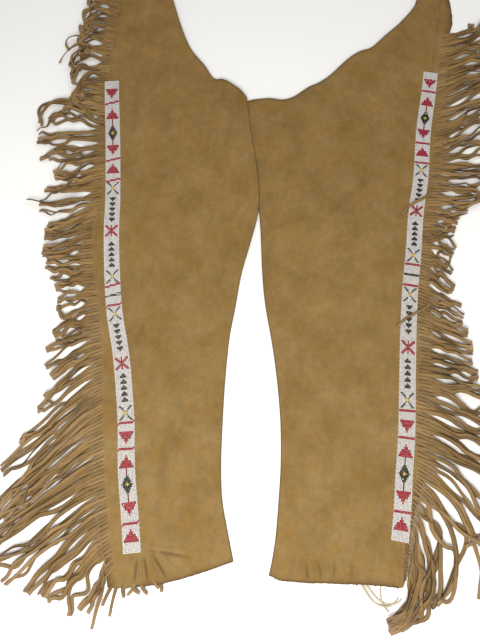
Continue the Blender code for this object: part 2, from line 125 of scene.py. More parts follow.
left_inseam = [
    Edge(-9, -348), Edge(-17, -310), Edge(-25, -266), Edge(-27, -215), Edge(-25, -150),
    Edge(-22, -95), Edge(-16, -30), Edge(-7, 20), Edge(2, 73), Edge(15, 121), Edge(29, 178),
    Edge(31, 222), Edge(26, 280), Edge(18, 335), Edge(12, 400),
]
left_top = [
    Edge(12, 400), Edge(0, 417), Edge(-29, 438), Edge(-46, 442), Edge(-62, 469),
    Edge(-87, 504), Edge(-105, 552), Edge(-123, 617), Edge(-133, 665), Edge(-138, 700),
]
left_hem = [Edge(-9, -348), Edge(-48, -361), Edge(-104, -376), Edge(-151, -381)]
left_seam = [
    Edge(-151, -381), Edge(-154, -336), Edge(-160, -283), Edge(-168, -224), Edge(-171, -164),
    Edge(-176, -120), Edge(-186, -49), Edge(-199, 10), Edge(-208, 91), Edge(-213, 160),
    Edge(-213, 200), Edge(-221, 330), Edge(-229, 430), Edge(-228, 514), Edge(-222, 583),
    Edge(-217, 630), Edge(-200, 700),
]
right_inseam = [
    Edge(39, -365), Edge(43, -350), Edge(49, -317), Edge(54, -270), Edge(58, -220),
    Edge(59, -165), Edge(57, -120), Edge(53, -75), Edge(48, -35), Edge(39, 24), Edge(35, 76),
    Edge(32, 169), Edge(25, 225), Edge(15, 300), Edge(5, 394),
]
right_top = [
    Edge(5, 394), Edge(16, 398), Edge(48, 401), Edge(74, 398), Edge(93, 404), Edge(118, 423),
    Edge(139, 434), Edge(161, 452), Edge(189, 482), Edge(212, 499), Edge(234, 508),
    Edge(260, 534), Edge(291, 565), Edge(321, 606), Edge(331, 655), Edge(343, 700),
]
right_hem = [Edge(39, -365), Edge(62, -373), Edge(125, -376), Edge(166, -377), Edge(218, -381)]
right_seam = [
    Edge(218, -381), Edge(226, -322), Edge(233, -282), Edge(239, -232), Edge(247, -180),
    Edge(251, -139), Edge(257, -73), Edge(263, -14), Edge(272, 59), Edge(279, 95),
    Edge(291, 183), Edge(299, 217), Edge(306, 254), Edge(314, 318), Edge(322, 364),
    Edge(330, 398), Edge(341, 460), Edge(355, 530), Edge(368, 600), Edge(384, 700),
]
left_folds = [
    Fold(-120, 420, 75, 260, 26, 1.0), Fold(-70, 300, 110, 240, 30, 1.1),
    Fold(-150, 230, 92, 200, 20, -0.9), Fold(-95, 90, 84, 260, 28, 1.0),
    Fold(-150, -40, 98, 200, 20, -1.0), Fold(-85, -170, 88, 240, 24, 1.0),
    Fold(-110, -330, 20, 110, 16, 0.8),
]
right_folds = [
    Fold(250, 470, 55, 260, 30, 1.0), Fold(120, 330, 150, 220, 28, -0.9),
    Fold(190, 250, 40, 220, 22, 1.1), Fold(120, 120, 95, 280, 30, 1.0),
    Fold(210, 20, 84, 220, 22, -0.9), Fold(130, -150, 92, 260, 28, 1.0),
    Fold(150, -320, 165, 120, 18, 0.8),
]
# Small creases: middle, turn from x in degrees, size, rise (+) or dip (-)
left_creases = [
    Fold(-148, -361, 80, 50, 2.1, 2.4), Fold(-142, -360, 86, 50, 1.8, -2.0),
    Fold(-135, -359, 93, 52, 2.2, 2.8), Fold(-128, -358, 101, 52, 1.8, -2.0),
    Fold(-119, -356, 112, 60, 2.2, 2.7), Fold(-110, -353, 124, 60, 1.9, -1.8),
    Fold(-99, -348, 138, 76, 2.4, 2.0), Fold(-98, -332, 173, 96, 2.1, 2.3),
    Fold(-96, -338, 171, 90, 1.9, -1.8),
    Fold(-158, -50, 62, 90, 5.0, 0.7), Fold(-152, -22, 70, 80, 4.0, -0.7),
    Fold(-140, 16, 84, 110, 5.0, 0.5), Fold(-20, 330, 80, 120, 6.0, -0.5),
    Fold(-60, 250, 70, 160, 7.0, 0.5), Fold(-150, 520, 96, 150, 7.0, 0.5),
    Fold(-110, -230, 86, 170, 7.0, -0.4), Fold(-60, -120, 94, 150, 7.0, 0.4),
    Fold(-180, 380, 88, 160, 6.0, -0.5), Fold(-165, 130, 92, 150, 6.0, 0.4),
]
right_creases = [
    Fold(82, -356, 82, 50, 1.9, 1.2), Fold(91, -360, 95, 42, 1.8, -1.2),
    Fold(100, -354, 88, 56, 1.9, 1.4), Fold(109, -360, 100, 44, 1.8, -1.2),
    Fold(118, -357, 92, 50, 2.0, 1.3), Fold(128, -360, 84, 40, 1.8, -1.0),
    Fold(139, -358, 96, 46, 2.0, 1.1), Fold(152, -360, 86, 40, 1.9, -0.9),
    Fold(72, -352, 78, 52, 3.0, -0.5), Fold(190, -345, 70, 80, 4.0, 0.6),
    Fold(60, 362, 165, 130, 5.0, 0.6), Fold(78, 348, 160, 120, 5.0, -0.6),
    Fold(200, 255, 38, 190, 7.0, 0.7), Fold(170, 205, 44, 160, 7.0, -0.5),
    Fold(120, 20, 30, 130, 8.0, 0.4), Fold(215, 380, 62, 150, 7.0, 0.5),
    Fold(230, -120, 84, 180, 7.0, 0.5), Fold(90, -60, 98, 200, 8.0, -0.4),
    Fold(160, -230, 78, 120, 6.0, 0.4), Fold(320, 560, 70, 120, 6.0, 0.5),
]


def curve_through(points, shares):
    """x and y at these shares of the length of a smooth curve through a table's points."""
    steps = np.arange(12)[:, None] / 12
    weights = np.hstack([
        (-steps + 2 * steps**2 - steps**3) / 2,
        (2 - 5 * steps**2 + 3 * steps**3) / 2,
        (steps + 4 * steps**2 - 3 * steps**3) / 2,
        (-(steps**2) + steps**3) / 2,
    ])
    ends = np.array([points[0], *points, points[-1]])
    dense = [weights @ ends[start:start + 4] for start in range(len(points) - 1)]
    dense = np.vstack([*dense, ends[-1:]])
    run = np.concatenate([[0], np.cumsum(np.hypot(*np.diff(dense, axis=0).T))])
    want = np.asarray(shares) * run[-1]
    return np.interp(want, run, dense[:, 0]), np.interp(want, run, dense[:, 1])


def edge_line(edge):
    """Close points along an edge that climbs from hem to waist."""
    return curve_through(edge, np.linspace(0, 1, 241))


def across_at(line, y):
    return np.interp(y, line[1], line[0])


def bow(line, y):
    """How far an edge bows to the right of the straight line between its ends."""
    part = np.clip((y - line[1][0]) / (line[1][-1] - line[1][0]), 0, 1)
    return across_at(line, y) - (line[0][0] + part * (line[0][-1] - line[0][0]))


def soft_step(value):
    value = np.clip(value, 0, 1)
    return value * value * (3 - 2 * value)


def rise_of(folds, x, y):
    """How far the folds of a table lift or lower the hide at each point."""
    rise = np.zeros_like(x)
    for fold in folds:
        turn = math.radians(fold.turn)
        along = (x - fold.x) * math.cos(turn) + (y - fold.y) * math.sin(turn)
        away = (y - fold.y) * math.cos(turn) - (x - fold.x) * math.sin(turn)
        reach = 1 - soft_step(np.abs(2 * along / fold.length))
        rise += fold.height * reach * np.exp(-((away / fold.width) ** 2))
    return rise


def leg_points(edges, tab_share, across, along):
    """Rows of points between a leg's edges: straight lines from hem to top, bowed sideways."""
    inseam, top, hem, seam = edges
    inner, outer = edge_line(inseam), edge_line(seam)
    low_x, low_y = curve_through(hem, across)
    high_x, high_y = curve_through(top, np.minimum(across / tab_share, 1))
    part = np.clip((across - tab_share) / (1 - tab_share), 0, 1)
    high_x = high_x + part * (seam[-1].x - top[-1].x)
    high_y = high_y + part * (seam[-1].y - top[-1].y)
    along = along[:, None]
    y = low_y + along * (high_y - low_y)
    sideways = [
        (1 - across) * bow(inner, level) + across * bow(outer, level)
        for level in (y, low_y, high_y)
    ]
    x = low_x + along * (high_x - low_x)
    return x + sideways[0] - (1 - along) * sideways[1] - along * sideways[2], y


def uneven(x, y, size, seed):
    """Smooth noise between -1 and 1 with features of this size."""
    places = zip(np.ravel(x) / size, np.ravel(y) / size)
    values = [noise.noise((float(px), float(py), seed)) for px, py in places]
    return np.array(values).reshape(np.shape(x))


def plain_mesh(name, points, faces, marks):
    """A mesh object from millimetre points, with a number per point for each mark."""
    mesh = bpy.data.meshes.new(name)
    places = (np.asarray(points) - (centre_x, centre_y, 0)) * MM
    mesh.from_pydata(places.tolist(), [], np.asarray(faces).tolist())
    for mark, values in marks.items():
        held = mesh.attributes.new(mark, "FLOAT", "POINT")
        held.data.foreach_set("value", np.asarray(values, dtype=np.float32))
    shape = bmesh.new()
    shape.from_mesh(mesh)
    bmesh.ops.recalc_face_normals(shape, faces=shape.faces)
    shape.to_mesh(mesh)
    shape.free()
    mesh.shade_smooth()
    made = bpy.data.objects.new(name, mesh)
    bpy.context.scene.collection.objects.link(made)
    return made


def tube_faces(rows, around):
    """Quads of an outer and an inner skin of rings, joined along the first and last rings."""
    ring = np.arange(around)
    after = (ring + 1) % around
    faces = []
    for skin in (0, rows * around):
        start = skin + np.arange(rows - 1)[:, None] * around
        quads = np.stack([
            start + ring, start + after, start + around + after, start + around + ring,
        ], axis=-1)
        faces.append(quads.reshape(-1, 4))
    for row in (0, rows - 1):
        here = row * around
        there = here + rows * around
        faces.append(np.stack([here + ring, here + after, there + after, there + ring], axis=-1))
    return np.vstack(faces)


def leg_hide(name, edges, tab_share, front, folds, creases, under_edge, nicks, seed):
    """One folded hide as a thin shell, with its creases in the upper layer."""
    back = np.linspace(0.965, 0.035, 26)
    angles = np.radians(np.linspace(-90, 90, 9))
    ends = np.concatenate([[0, 0.0010, 0.0024, 0.0044], np.linspace(0.007, 0.13, 46)])
    along = np.concatenate([ends, np.linspace(0.135, 0.992, 172), [0.9955, 0.998, 0.9992, 1]])
    x, y = leg_points(edges, tab_share, np.concatenate([[0], front, [1]]), along)
    back_x, back_y = leg_points(edges, tab_share, back, along)
    edge_gap = np.minimum(
        np.hypot(x - x[:, :1], y - y[:, :1]), np.hypot(x - x[:, -1:], y - y[:, -1:])
    )
    tab_height = edges[1][-1].y
    swell = soft_step((np.minimum(edge_gap, tab_height - tab_flat - y) - flat_edge) / swell_ramp)
    wave = 0.5 * uneven(x, y, 34, seed) + 0.25 * uneven(x, y, 13, seed + 3)
    gap = layer_gap + swell * (base_swell + rise_of(folds, x, y))
    gap = np.clip(gap, layer_gap, largest_gap)
    rise = rise_of(creases, x, y)
    gap = gap + soft_step(edge_gap / 5) * (rise + wave * (0.35 + 0.65 * swell))
    gap = np.maximum(gap, 0.25)
    near_hem = np.exp(-(along[:, None] * 1080 / 5))
    ragged = nicks * np.abs(uneven(x, 0 * y, 4.2, seed + 9)) + 0.8 * uneven(x, 0 * y, 17, seed)
    y = y + near_hem * ragged
    skins = []
    for wall in (0.0, hide_thickness):
        parts = [(back_x, back_y, np.full_like(back_x, wall))]
        for edge, beside, order in ((0, 1, 1), (-1, -2, -1)):
            reach = np.hypot(x[:, edge] - x[:, beside], y[:, edge] - y[:, beside])
            out_x = ((x[:, edge] - x[:, beside]) / reach)[:, None]
            out_y = ((y[:, edge] - y[:, beside]) / reach)[:, None]
            wide = (fold_radius - wall) * np.cos(angles[::order])[None, :] - fold_radius
            high = fold_radius + (fold_radius - wall) * np.sin(angles[::order])[None, :]
            arc = (x[:, [edge]] + wide * out_x, y[:, [edge]] + wide * out_y, high + 0 * wide * out_x)
            parts.append(arc)
            if order == 1:
                upper = 2 * hide_thickness + gap[:, 1:-1] - wall
                parts.append((x[:, 1:-1], y[:, 1:-1], upper))
        ring_x, ring_y, ring_z = (np.hstack([part[i] for part in parts]) for i in range(3))
        if under_edge is not None:
            before_edge = across_at(under_edge, ring_y) - ring_x
            ring_z = ring_z + climb * soft_step((climb_start - before_edge) / (climb_start - climb_end))
        skins.append(np.stack([ring_x, ring_y, ring_z], axis=-1))
    rows, around = skins[0].shape[:2]
    points = np.vstack([skin.reshape(-1, 3) for skin in skins])
    # Partly wear and partly painted shade: a dark line along the trimmed hem and top.
    edge_wear_shade = np.maximum(np.exp(-along * 1080 / 3.0), np.exp(-(1 - along) * 1080 / 3.0))
    edge_wear_shade = np.tile(np.repeat(edge_wear_shade, around), 2)
    # Painted shade in the valleys of the creases that dip.
    crease_shade = soft_step(edge_gap / 5) * np.clip(-rise / 2.4, 0, 0.6)
    crease_shade_rows = [np.zeros((rows, len(back) + 9)), crease_shade[:, 1:-1], np.zeros((rows, 9))]
    edge_wear_shade = np.maximum(edge_wear_shade, np.tile(np.hstack(crease_shade_rows).ravel(), 2))
    # Painted shade, partly standing for wear: the folds at the inseam and the seam are darkest where they face
    # sideways.
    turned = np.zeros(around)
    turned[len(back):len(back) + 9] = np.cos(angles)
    turned[-9:] = np.cos(angles)
    turned = np.tile(turned, 2 * rows)
    return plain_mesh(name, points, tube_faces(rows, around), {"edge_wear_and_shade": edge_wear_shade, "fold_shade_and_wear": turned})


def group_socket(group, name, direction, kind, value=None):
    made = group.interface.new_socket(name=name, in_out=direction, socket_type=kind)
    if value is not None:
        made.default_value = value
    return made


def add(tree, kind, place, **settings):
    """A node of a tree, with its settings and the values of its sockets."""
    made = tree.nodes.new(kind)
    made.location = place
    for name, value in settings.items():
        if hasattr(made, name):
            setattr(made, name, value)
        else:
            made.inputs[name.replace("_", " ")].default_value = value
    return made


def suede_group():
    """Clouded colour, nap and roughness of a brushed hide, from its own coordinates."""
    group = bpy.data.node_groups.new("brushed_hide", "ShaderNodeTree")
    group_socket(group, "Vector", "INPUT", "NodeSocketVector")
    group_socket(group, "Pale", "INPUT", "NodeSocketColor", (0.3, 0.2, 0.1, 1))
    group_socket(group, "Deep", "INPUT", "NodeSocketColor", (0.2, 0.1, 0.05, 1))
    group_socket(group, "Warm", "INPUT", "NodeSocketColor", (0.3, 0.15, 0.05, 1))
    group_socket(group, "Nap Scale", "INPUT", "NodeSocketFloat", 600)
    group_socket(group, "Colour", "OUTPUT", "NodeSocketColor")
    group_socket(group, "Roughness", "OUTPUT", "NodeSocketFloat")
    group_socket(group, "Height", "OUTPUT", "NodeSocketFloat")
    inlet = add(group, "NodeGroupInput", (-1100, 0))
    outlet = add(group, "NodeGroupOutput", (700, 0))
    clouds = add(group, "ShaderNodeTexNoise", (-800, 300), Scale=19, Detail=6, Roughness=0.6)
    patches = add(group, "ShaderNodeTexNoise", (-800, 0), Scale=42, Detail=4, Roughness=0.6)
    drawn = add(group, "ShaderNodeMapping", (-980, -300), Scale=(1, 0.8, 1))
    streaks = add(group, "ShaderNodeTexNoise", (-800, -300), Scale=110, Detail=4, Roughness=0.65)
    nap = add(group, "ShaderNodeTexNoise", (-800, -600), Detail=3, Roughness=0.7)
    cloud_share = add(group, "ShaderNodeMapRange", (-560, 300))
    cloud_share.inputs["From Min"].default_value = 0.3
    cloud_share.inputs["From Max"].default_value = 0.7
    patch_share = add(group, "ShaderNodeMapRange", (-560, 0))
    patch_share.inputs["From Min"].default_value = 0.46
    patch_share.inputs["From Max"].default_value = 0.72
    patch_share.inputs["To Max"].default_value = 0.55
    clouded = add(group, "ShaderNodeMix", (-320, 250), data_type="RGBA")
    warmed = add(group, "ShaderNodeMix", (-120, 200), data_type="RGBA")
    grain = add(group, "ShaderNodeMath", (-560, -450), operation="ADD")
    shade = add(group, "ShaderNodeMapRange", (-320, -200))
    shade.inputs["From Min"].default_value = 0.7
    shade.inputs["From Max"].default_value = 1.3
    shade.inputs["To Min"].default_value = 0.84
    shade.inputs["To Max"].default_value = 1.14
    shaded = add(group, "ShaderNodeMix", (120, 200), data_type="RGBA", blend_type="MULTIPLY")
    shaded.inputs["Factor"].default_value = 1
    rough = add(group, "ShaderNodeMapRange", (120, -200))
    rough.inputs["To Min"].default_value = 0.82
    rough.inputs["To Max"].default_value = 1.0
    wires = [
        (inlet.outputs["Vector"], clouds.inputs["Vector"]),
        (inlet.outputs["Vector"], patches.inputs["Vector"]),
        (inlet.outputs["Vector"], drawn.inputs["Vector"]),
        (drawn.outputs["Vector"], streaks.inputs["Vector"]),
        (inlet.outputs["Vector"], nap.inputs["Vector"]),
        (inlet.outputs["Nap Scale"], nap.inputs["Scale"]),
        (clouds.outputs["Fac"], cloud_share.inputs["Value"]),
        (patches.outputs["Fac"], patch_share.inputs["Value"]),
        (cloud_share.outputs["Result"], clouded.inputs["Factor"]),
        (inlet.outputs["Deep"], clouded.inputs["A"]),
        (inlet.outputs["Pale"], clouded.inputs["B"]),
        (patch_share.outputs["Result"], warmed.inputs["Factor"]),
        (clouded.outputs["Result"], warmed.inputs["A"]),
        (inlet.outputs["Warm"], warmed.inputs["B"]),
        (streaks.outputs["Fac"], grain.inputs[0]),
        (nap.outputs["Fac"], grain.inputs[1]),
        (grain.outputs["Value"], shade.inputs["Value"]),
        (warmed.outputs["Result"], shaded.inputs["A"]),
        (shade.outputs["Result"], shaded.inputs["B"]),
        (nap.outputs["Fac"], rough.inputs["Value"]),
        (shaded.outputs["Result"], outlet.inputs["Colour"]),
        (rough.outputs["Result"], outlet.inputs["Roughness"]),
        (grain.outputs["Value"], outlet.inputs["Height"]),
    ]
    for start, end in wires:
        group.links.new(start, end)
    return group


brushed_hide = suede_group()


def hide_finish(name, pale, deep, warm, nap_scale):
    """Matt brushed hide, tinted yellower towards the waist and darkened where marked: along trimmed edges and folds,
    partly for wear and partly as painted shade, and in crease valleys as painted shade.
    """
    material = bpy.data.materials.new(name)
    material.use_nodes = True
    tree = material.node_tree
    shader = tree.nodes["Principled BSDF"]
    shader.inputs["Specular IOR Level"].default_value = 0.12
    shader.inputs["Sheen Weight"].default_value = 0.04
    shader.inputs["Sheen Roughness"].default_value = 0.6
    place = add(tree, "ShaderNodeTexCoord", (-1100, 0))
    suede = add(tree, "ShaderNodeGroup", (-800, 0), node_tree=brushed_hide)
    suede.inputs["Pale"].default_value = (*pale, 1)
    suede.inputs["Deep"].default_value = (*deep, 1)
    suede.inputs["Warm"].default_value = (*warm, 1)
    suede.inputs["Nap Scale"].default_value = nap_scale
    # Painted shade, partly standing for wear: the edge and fold marks pull the colour towards a dark brown (0.055,
    # 0.026, 0.011).
    edge_wear_shade = add(tree, "ShaderNodeAttribute", (-800, 300), attribute_name="edge_wear_and_shade")
    folded = add(tree, "ShaderNodeAttribute", (-800, 500), attribute_name="fold_shade_and_wear")
    fold_share = add(tree, "ShaderNodeMath", (-600, 500), operation="MULTIPLY")
    fold_share.inputs[1].default_value = 0.85
    edge_wear_shade_share = add(tree, "ShaderNodeMath", (-600, 300), operation="MULTIPLY")
    edge_wear_shade_share.inputs[1].default_value = 0.95
    wear_shade_share = add(tree, "ShaderNodeMath", (-420, 400), operation="MAXIMUM")
    wear_shade_mix = add(tree, "ShaderNodeMix", (-240, 200), data_type="RGBA")
    wear_shade_mix.inputs["B"].default_value = (0.055, 0.026, 0.011, 1)
    bump = add(tree, "ShaderNodeBump", (-240, -300), Strength=0.35, Distance=0.0006)
    # Tint by height: yellower towards the waist, greyer towards the hem.
    level = add(tree, "ShaderNodeSeparateXYZ", (-800, -300))
    to_waist = add(tree, "ShaderNodeMapRange", (-600, -300))
    to_waist.inputs["From Min"].default_value = -0.3
    to_waist.inputs["From Max"].default_value = 0.45
    waist_tint = add(tree, "ShaderNodeMix", (-420, -100), data_type="RGBA")
    waist_tint.inputs["A"].default_value = (0.92, 0.91, 0.88, 1)
    waist_tint.inputs["B"].default_value = (0.96, 0.90, 0.73, 1)
    waist_tinted = add(tree, "ShaderNodeMix", (-420, 150), data_type="RGBA", blend_type="MULTIPLY")
    waist_tinted.inputs["Factor"].default_value = 1
    wires = [
        (place.outputs["Object"], level.inputs["Vector"]),
        (level.outputs["Y"], to_waist.inputs["Value"]),
        (to_waist.outputs["Result"], waist_tint.inputs["Factor"]),
        (suede.outputs["Colour"], waist_tinted.inputs["A"]),
        (waist_tint.outputs["Result"], waist_tinted.inputs["B"]),
        (place.outputs["Object"], suede.inputs["Vector"]),
        (folded.outputs["Fac"], fold_share.inputs[0]),
        (edge_wear_shade.outputs["Fac"], edge_wear_shade_share.inputs[0]),
        (fold_share.outputs["Value"], wear_shade_share.inputs[0]),
        (edge_wear_shade_share.outputs["Value"], wear_shade_share.inputs[1]),
        (wear_shade_share.outputs["Value"], wear_shade_mix.inputs["Factor"]),
        (waist_tinted.outputs["Result"], wear_shade_mix.inputs["A"]),
        (wear_shade_mix.outputs["Result"], shader.inputs["Base Color"]),
        (suede.outputs["Roughness"], shader.inputs["Roughness"]),
        (suede.outputs["Height"], bump.inputs["Height"]),
        (bump.outputs["Normal"], shader.inputs["Normal"]),
    ]
    for start, end in wires:
        tree.links.new(start, end)
    return material


golden_hide = hide_finish("golden_hide", (0.276, 0.182, 0.077), (0.196, 0.121, 0.038), (0.266, 0.146, 0.034), 620)

right_edges = (right_inseam, right_top, right_hem, right_seam)
left_edges = (left_inseam, left_top, left_hem, left_seam)
right_columns = np.linspace(0.035, 0.965, 108)
left_columns = np.concatenate([np.linspace(0.035, 0.45, 44), np.linspace(0.457, 0.965, 74)])
right_leg = leg_hide(
    "right_leg_hide", right_edges, 0.84, right_columns, right_folds, right_creases, None, -2.6, 5.0
)
left_leg = leg_hide(
    "left_leg_hide", left_edges, 0.68, left_columns, left_folds, left_creases,
    edge_line(right_inseam), -1.2, 11.0
)
for leg, node, width, area, rests in (
    (right_leg, "leg_right", 0.757, 0.43, []),
    (left_leg, "leg_left", 0.562, 0.38, ["right_leg_hide"]),
):
    leg.data.materials.append(golden_hide)
    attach(leg, "root")
    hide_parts(node)

# The fringe
# Beyond the seam both hides run on as a flap. The lower one is trimmed and the upper one is
# slit into long narrow strands, which twist, curl, clump and lie across each other. Painted
# shade darkens their sides, and they pale towards their tips with wear.
strand_pitch = 5.4
strand_half_width = 2.95
flap_low = 0.4
flap_high = leg_top - 0.2
slit_length = 13.0
strand_rings = 36
height_cell = 1.5
steepest = 0.24

Fringe = namedtuple("Fringe", "y length start end")

left_roots = [
    Edge(-181, -366), Edge(-188, -340), Edge(-197, -300), Edge(-207, -225), Edge(-213, -165),
    Edge(-217, -100), Edge(-223, -45), Edge(-232, 22), Edge(-243, 66), Edge(-249, 115),
    Edge(-251, 161), Edge(-241, 195), Edge(-240, 260), Edge(-235, 300), Edge(-240, 350),
    Edge(-242, 416), Edge(-238, 465), Edge(-237, 514), Edge(-232, 583), Edge(-226, 625),
    Edge(-211, 690),
]
right_roots = [
    Edge(228, -368), Edge(235, -330), Edge(243, -295), Edge(257, -255), Edge(267, -225),
    Edge(269, -165), Edge(279, -96), Edge(285, -50), Edge(286, 15), Edge(292, 60),
    Edge(299, 110), Edge(310, 155), Edge(319, 190), Edge(324, 225), Edge(334, 265),
    Edge(346, 340), Edge(353, 402), Edge(366, 482), Edge(374, 528), Edge(385, 560),
    Edge(387, 593), Edge(385, 640), Edge(392, 690),
]
# Lie of the strands by height of the root: length, then heading in degrees from straight
# out, towards the waist when positive, near the root and at the tip
left_lie = [
    Fringe(-366, 52, -70, -44), Fringe(-345, 80, -52, -50), Fringe(-322, 112, -46, -50),
    Fringe(-290, 148, -42, -47), Fringe(-250, 180, -35, -44), Fringe(-205, 186, -36, -42),
    Fringe(-160, 186, -42, -44), Fringe(-118, 172, -44, -46), Fringe(-95, 116, -42, -44),
    Fringe(-60, 84, -34, -38), Fringe(-30, 76, -30, -30), Fringe(0, 66, -24, -20),
    Fringe(28, 56, -16, -20), Fringe(45, 42, -8, 0), Fringe(85, 60, -8, 2),
    Fringe(120, 66, -16, 0), Fringe(160, 72, -30, -2), Fringe(200, 84, -26, 6),
    Fringe(222, 104, -14, 0), Fringe(250, 74, -22, -8), Fringe(285, 82, -16, -12),
    Fringe(315, 116, -4, -10), Fringe(345, 112, 6, -4), Fringe(375, 80, 12, -22),
    Fringe(405, 66, 8, -120), Fringe(450, 84, -2, -160), Fringe(500, 104, 8, -170),
    Fringe(550, 82, 12, -160), Fringe(600, 66, 18, -140), Fringe(668, 58, 16, 60),
]
right_lie = [
    Fringe(-368, 80, -100, -158), Fringe(-340, 112, -92, -156), Fringe(-310, 148, -84, -156),
    Fringe(-280, 184, -74, -162), Fringe(-255, 200, -62, -168), Fringe(-232, 156, -44, -80),
    Fringe(-200, 142, -34, -30), Fringe(-160, 140, -30, -22), Fringe(-115, 116, -22, -20),
    Fringe(-85, 88, -14, -12), Fringe(-55, 74, -18, 0), Fringe(-20, 70, -26, -4),
    Fringe(15, 68, -32, -12), Fringe(50, 56, -36, -28), Fringe(85, 48, -30, -36),
    Fringe(120, 42, -10, -36), Fringe(150, 34, -2, -14), Fringe(175, 44, -8, 10),
    Fringe(205, 78, -10, 10), Fringe(240, 106, -8, -2), Fringe(268, 104, 2, 10),
    Fringe(300, 84, 18, 32), Fringe(345, 110, 24, 26), Fringe(390, 124, 28, 16),
    Fringe(440, 126, 22, 6), Fringe(490, 112, 14, -10), Fringe(520, 84, 14, 26),
    Fringe(536, 56, 16, 78),
]
# Single strands that arch over the rest, by height of the root
left_arches = [
    Fringe(346, 166, 52, -120), Fringe(366, 140, 40, -104), Fringe(490, 104, 38, -96),
    Fringe(520, 98, 30, -112), Fringe(-352, 84, -98, -56), Fringe(208, 108, -6, 4),
]
right_arches = [
    Fringe(528, 104, 18, 74), Fringe(518, 108, 14, 66), Fringe(214, 92, -14, 56),
    Fringe(-196, 176, -20, -116), Fringe(-214, 162, -30, -150), Fringe(-266, 110, -34, -56),
]
# How strongly the strands curl, by height of the root
left_curl = ([-366, -100, 60, 200, 330, 420, 668], [3.0, 3.5, 3.0, 4.5, 8.0, 9.0, 7.0])
right_curl = ([-368, -200, 40, 150, 260, 400, 536], [5.0, 4.0, 4.0, 5.0, 5.5, 5.0, 6.0])
# How far their tips stray from the lie, in degrees
left_stray = ([-366, 60, 380, 430, 668], [14, 14, 22, 70, 70])
right_stray = ([-368, -240, -200, 0, 100, 200, 400, 536], [6, 8, 14, 8, 14, 12, 20, 26])


def lie_at(rows, y):
    """The row of a table of lies at this height, straight between its rows."""
    heights = [row.y for row in rows]
    return Fringe(y, *(np.interp(y, heights, [row[i] for row in rows]) for i in (1, 2, 3)))


def strand_route(root, out, lie, curl, phase):
    """Close points of a strand on the surface, from where its slit starts to its tip."""
    shares = (np.arange(strand_rings) + 0.5) / strand_rings
    ease = np.minimum(1, 0.7 + 0.3 * shares / 0.15)
    bend = np.maximum(0, shares - 0.15) / 0.85
    heading = ease * lie.start + bend**1.4 * (lie.end - lie.start)
    swing = np.sin(phase + 2 * math.pi * shares * lie.length / 78)
    heading = np.radians(heading + curl * 4.5 * bend**0.7 * swing)
    step = lie.length / strand_rings
    x = root[0] + np.concatenate([[0], np.cumsum(out * np.cos(heading) * step)])
    y = root[1] + np.concatenate([[0], np.cumsum(np.sin(heading) * step)])
    first = math.radians(0.7 * lie.start)
    back = (slit_length + 5.0) * np.array([1, 0.66, 0.33])
    start_x = root[0] - out * math.cos(first) * back
    start_y = root[1] - math.sin(first) * back
    return np.stack([np.concatenate([start_x, x]), np.concatenate([start_y, y])], axis=-1)


def clump(routes, sizes, low, high, strength):
    """Draws neighbouring strands together along a stretch, as they cling in the photograph."""
    at = np.linspace(0, 1, len(routes[0]))[:, None]
    pull = strength * soft_step((at - low + 0.1) / 0.2) * (1 - soft_step((at - high) / 0.2))
    first = 0
    for size in sizes:
        members = routes[first:first + size]
        if len(members) > 1:
            middle = sum(members) / len(members)
            way = np.gradient(middle, axis=0)
            way /= np.hypot(*way.T)[:, None]
            aside = np.stack([-way[:, 1], way[:, 0]], axis=-1)
            aside *= np.sign(aside[:, 1:].mean() or 1)
            for number, route in enumerate(members):
                beside = middle + (number - (len(members) - 1) / 2) * 3.2 * aside
                routes[first + number] = route + pull * (beside - route)
        first += size
    return routes


def fringe_routes(side, roots, lies, arches, curls, strays, top, seed):
    """The routes of one side's strands, from hem to hip."""
    draw = random.Random(seed)
    out = -1 if side == "left" else 1
    count = round((roots[-1].y - roots[0].y) / strand_pitch)
    root_x, root_y = curve_through(roots, np.linspace(0, 1, count))
    arched = {int(np.abs(root_y - arch.y).argmin()): arch for arch in arches}
    routes = []
    for number, (x, y) in enumerate(zip(root_x, root_y)):
        if y > top:
            break
        lie = lie_at(lies, y)
        stray = np.interp(y, *strays)
        turn = draw.uniform(-0.4, 0.4) * min(stray, 18)
        stretch = draw.uniform(0.8, 1.08)
        end = lie.end + turn + draw.uniform(-stray, stray)
        lie = Fringe(y, lie.length * stretch, lie.start + turn, end)
        curl = np.interp(y, *curls) * draw.uniform(0.3, 1.25)
        lie = arched.get(number, lie)
        routes.append(strand_route((x, y), out, lie, curl, draw.uniform(0, 2 * math.pi)))
    single = [routes[number].copy() for number in arched if number < len(routes)]
    for low, high, strength in ((0.2, 0.32, 0.92), (0.5, 0.64, 0.9), (0.86, 1.2, 0.9)):
        sizes = [draw.choice((1, 2, 3))]
        while sum(sizes) < len(routes):
            sizes.append(draw.choice((1, 2, 3, 3, 4, 5, 6)))
        routes = clump(routes, sizes, low, high, strength)
    for number, route in zip([n for n in arched if n < len(routes)], single):
        routes[number] = route
    return routes, set(arched)


# Heights of what lies on the board so far, in cells, so that strands rest on each other
grid_corner = np.array([-420.0, -500.0])
heights = np.zeros((640, 820))


def cells_of(x, y):
    column = ((x - grid_corner[0]) / height_cell).astype(int)
    row = ((y - grid_corner[1]) / height_cell).astype(int)
    return np.clip(column, 0, heights.shape[0] - 1), np.clip(row, 0, heights.shape[1] - 1)


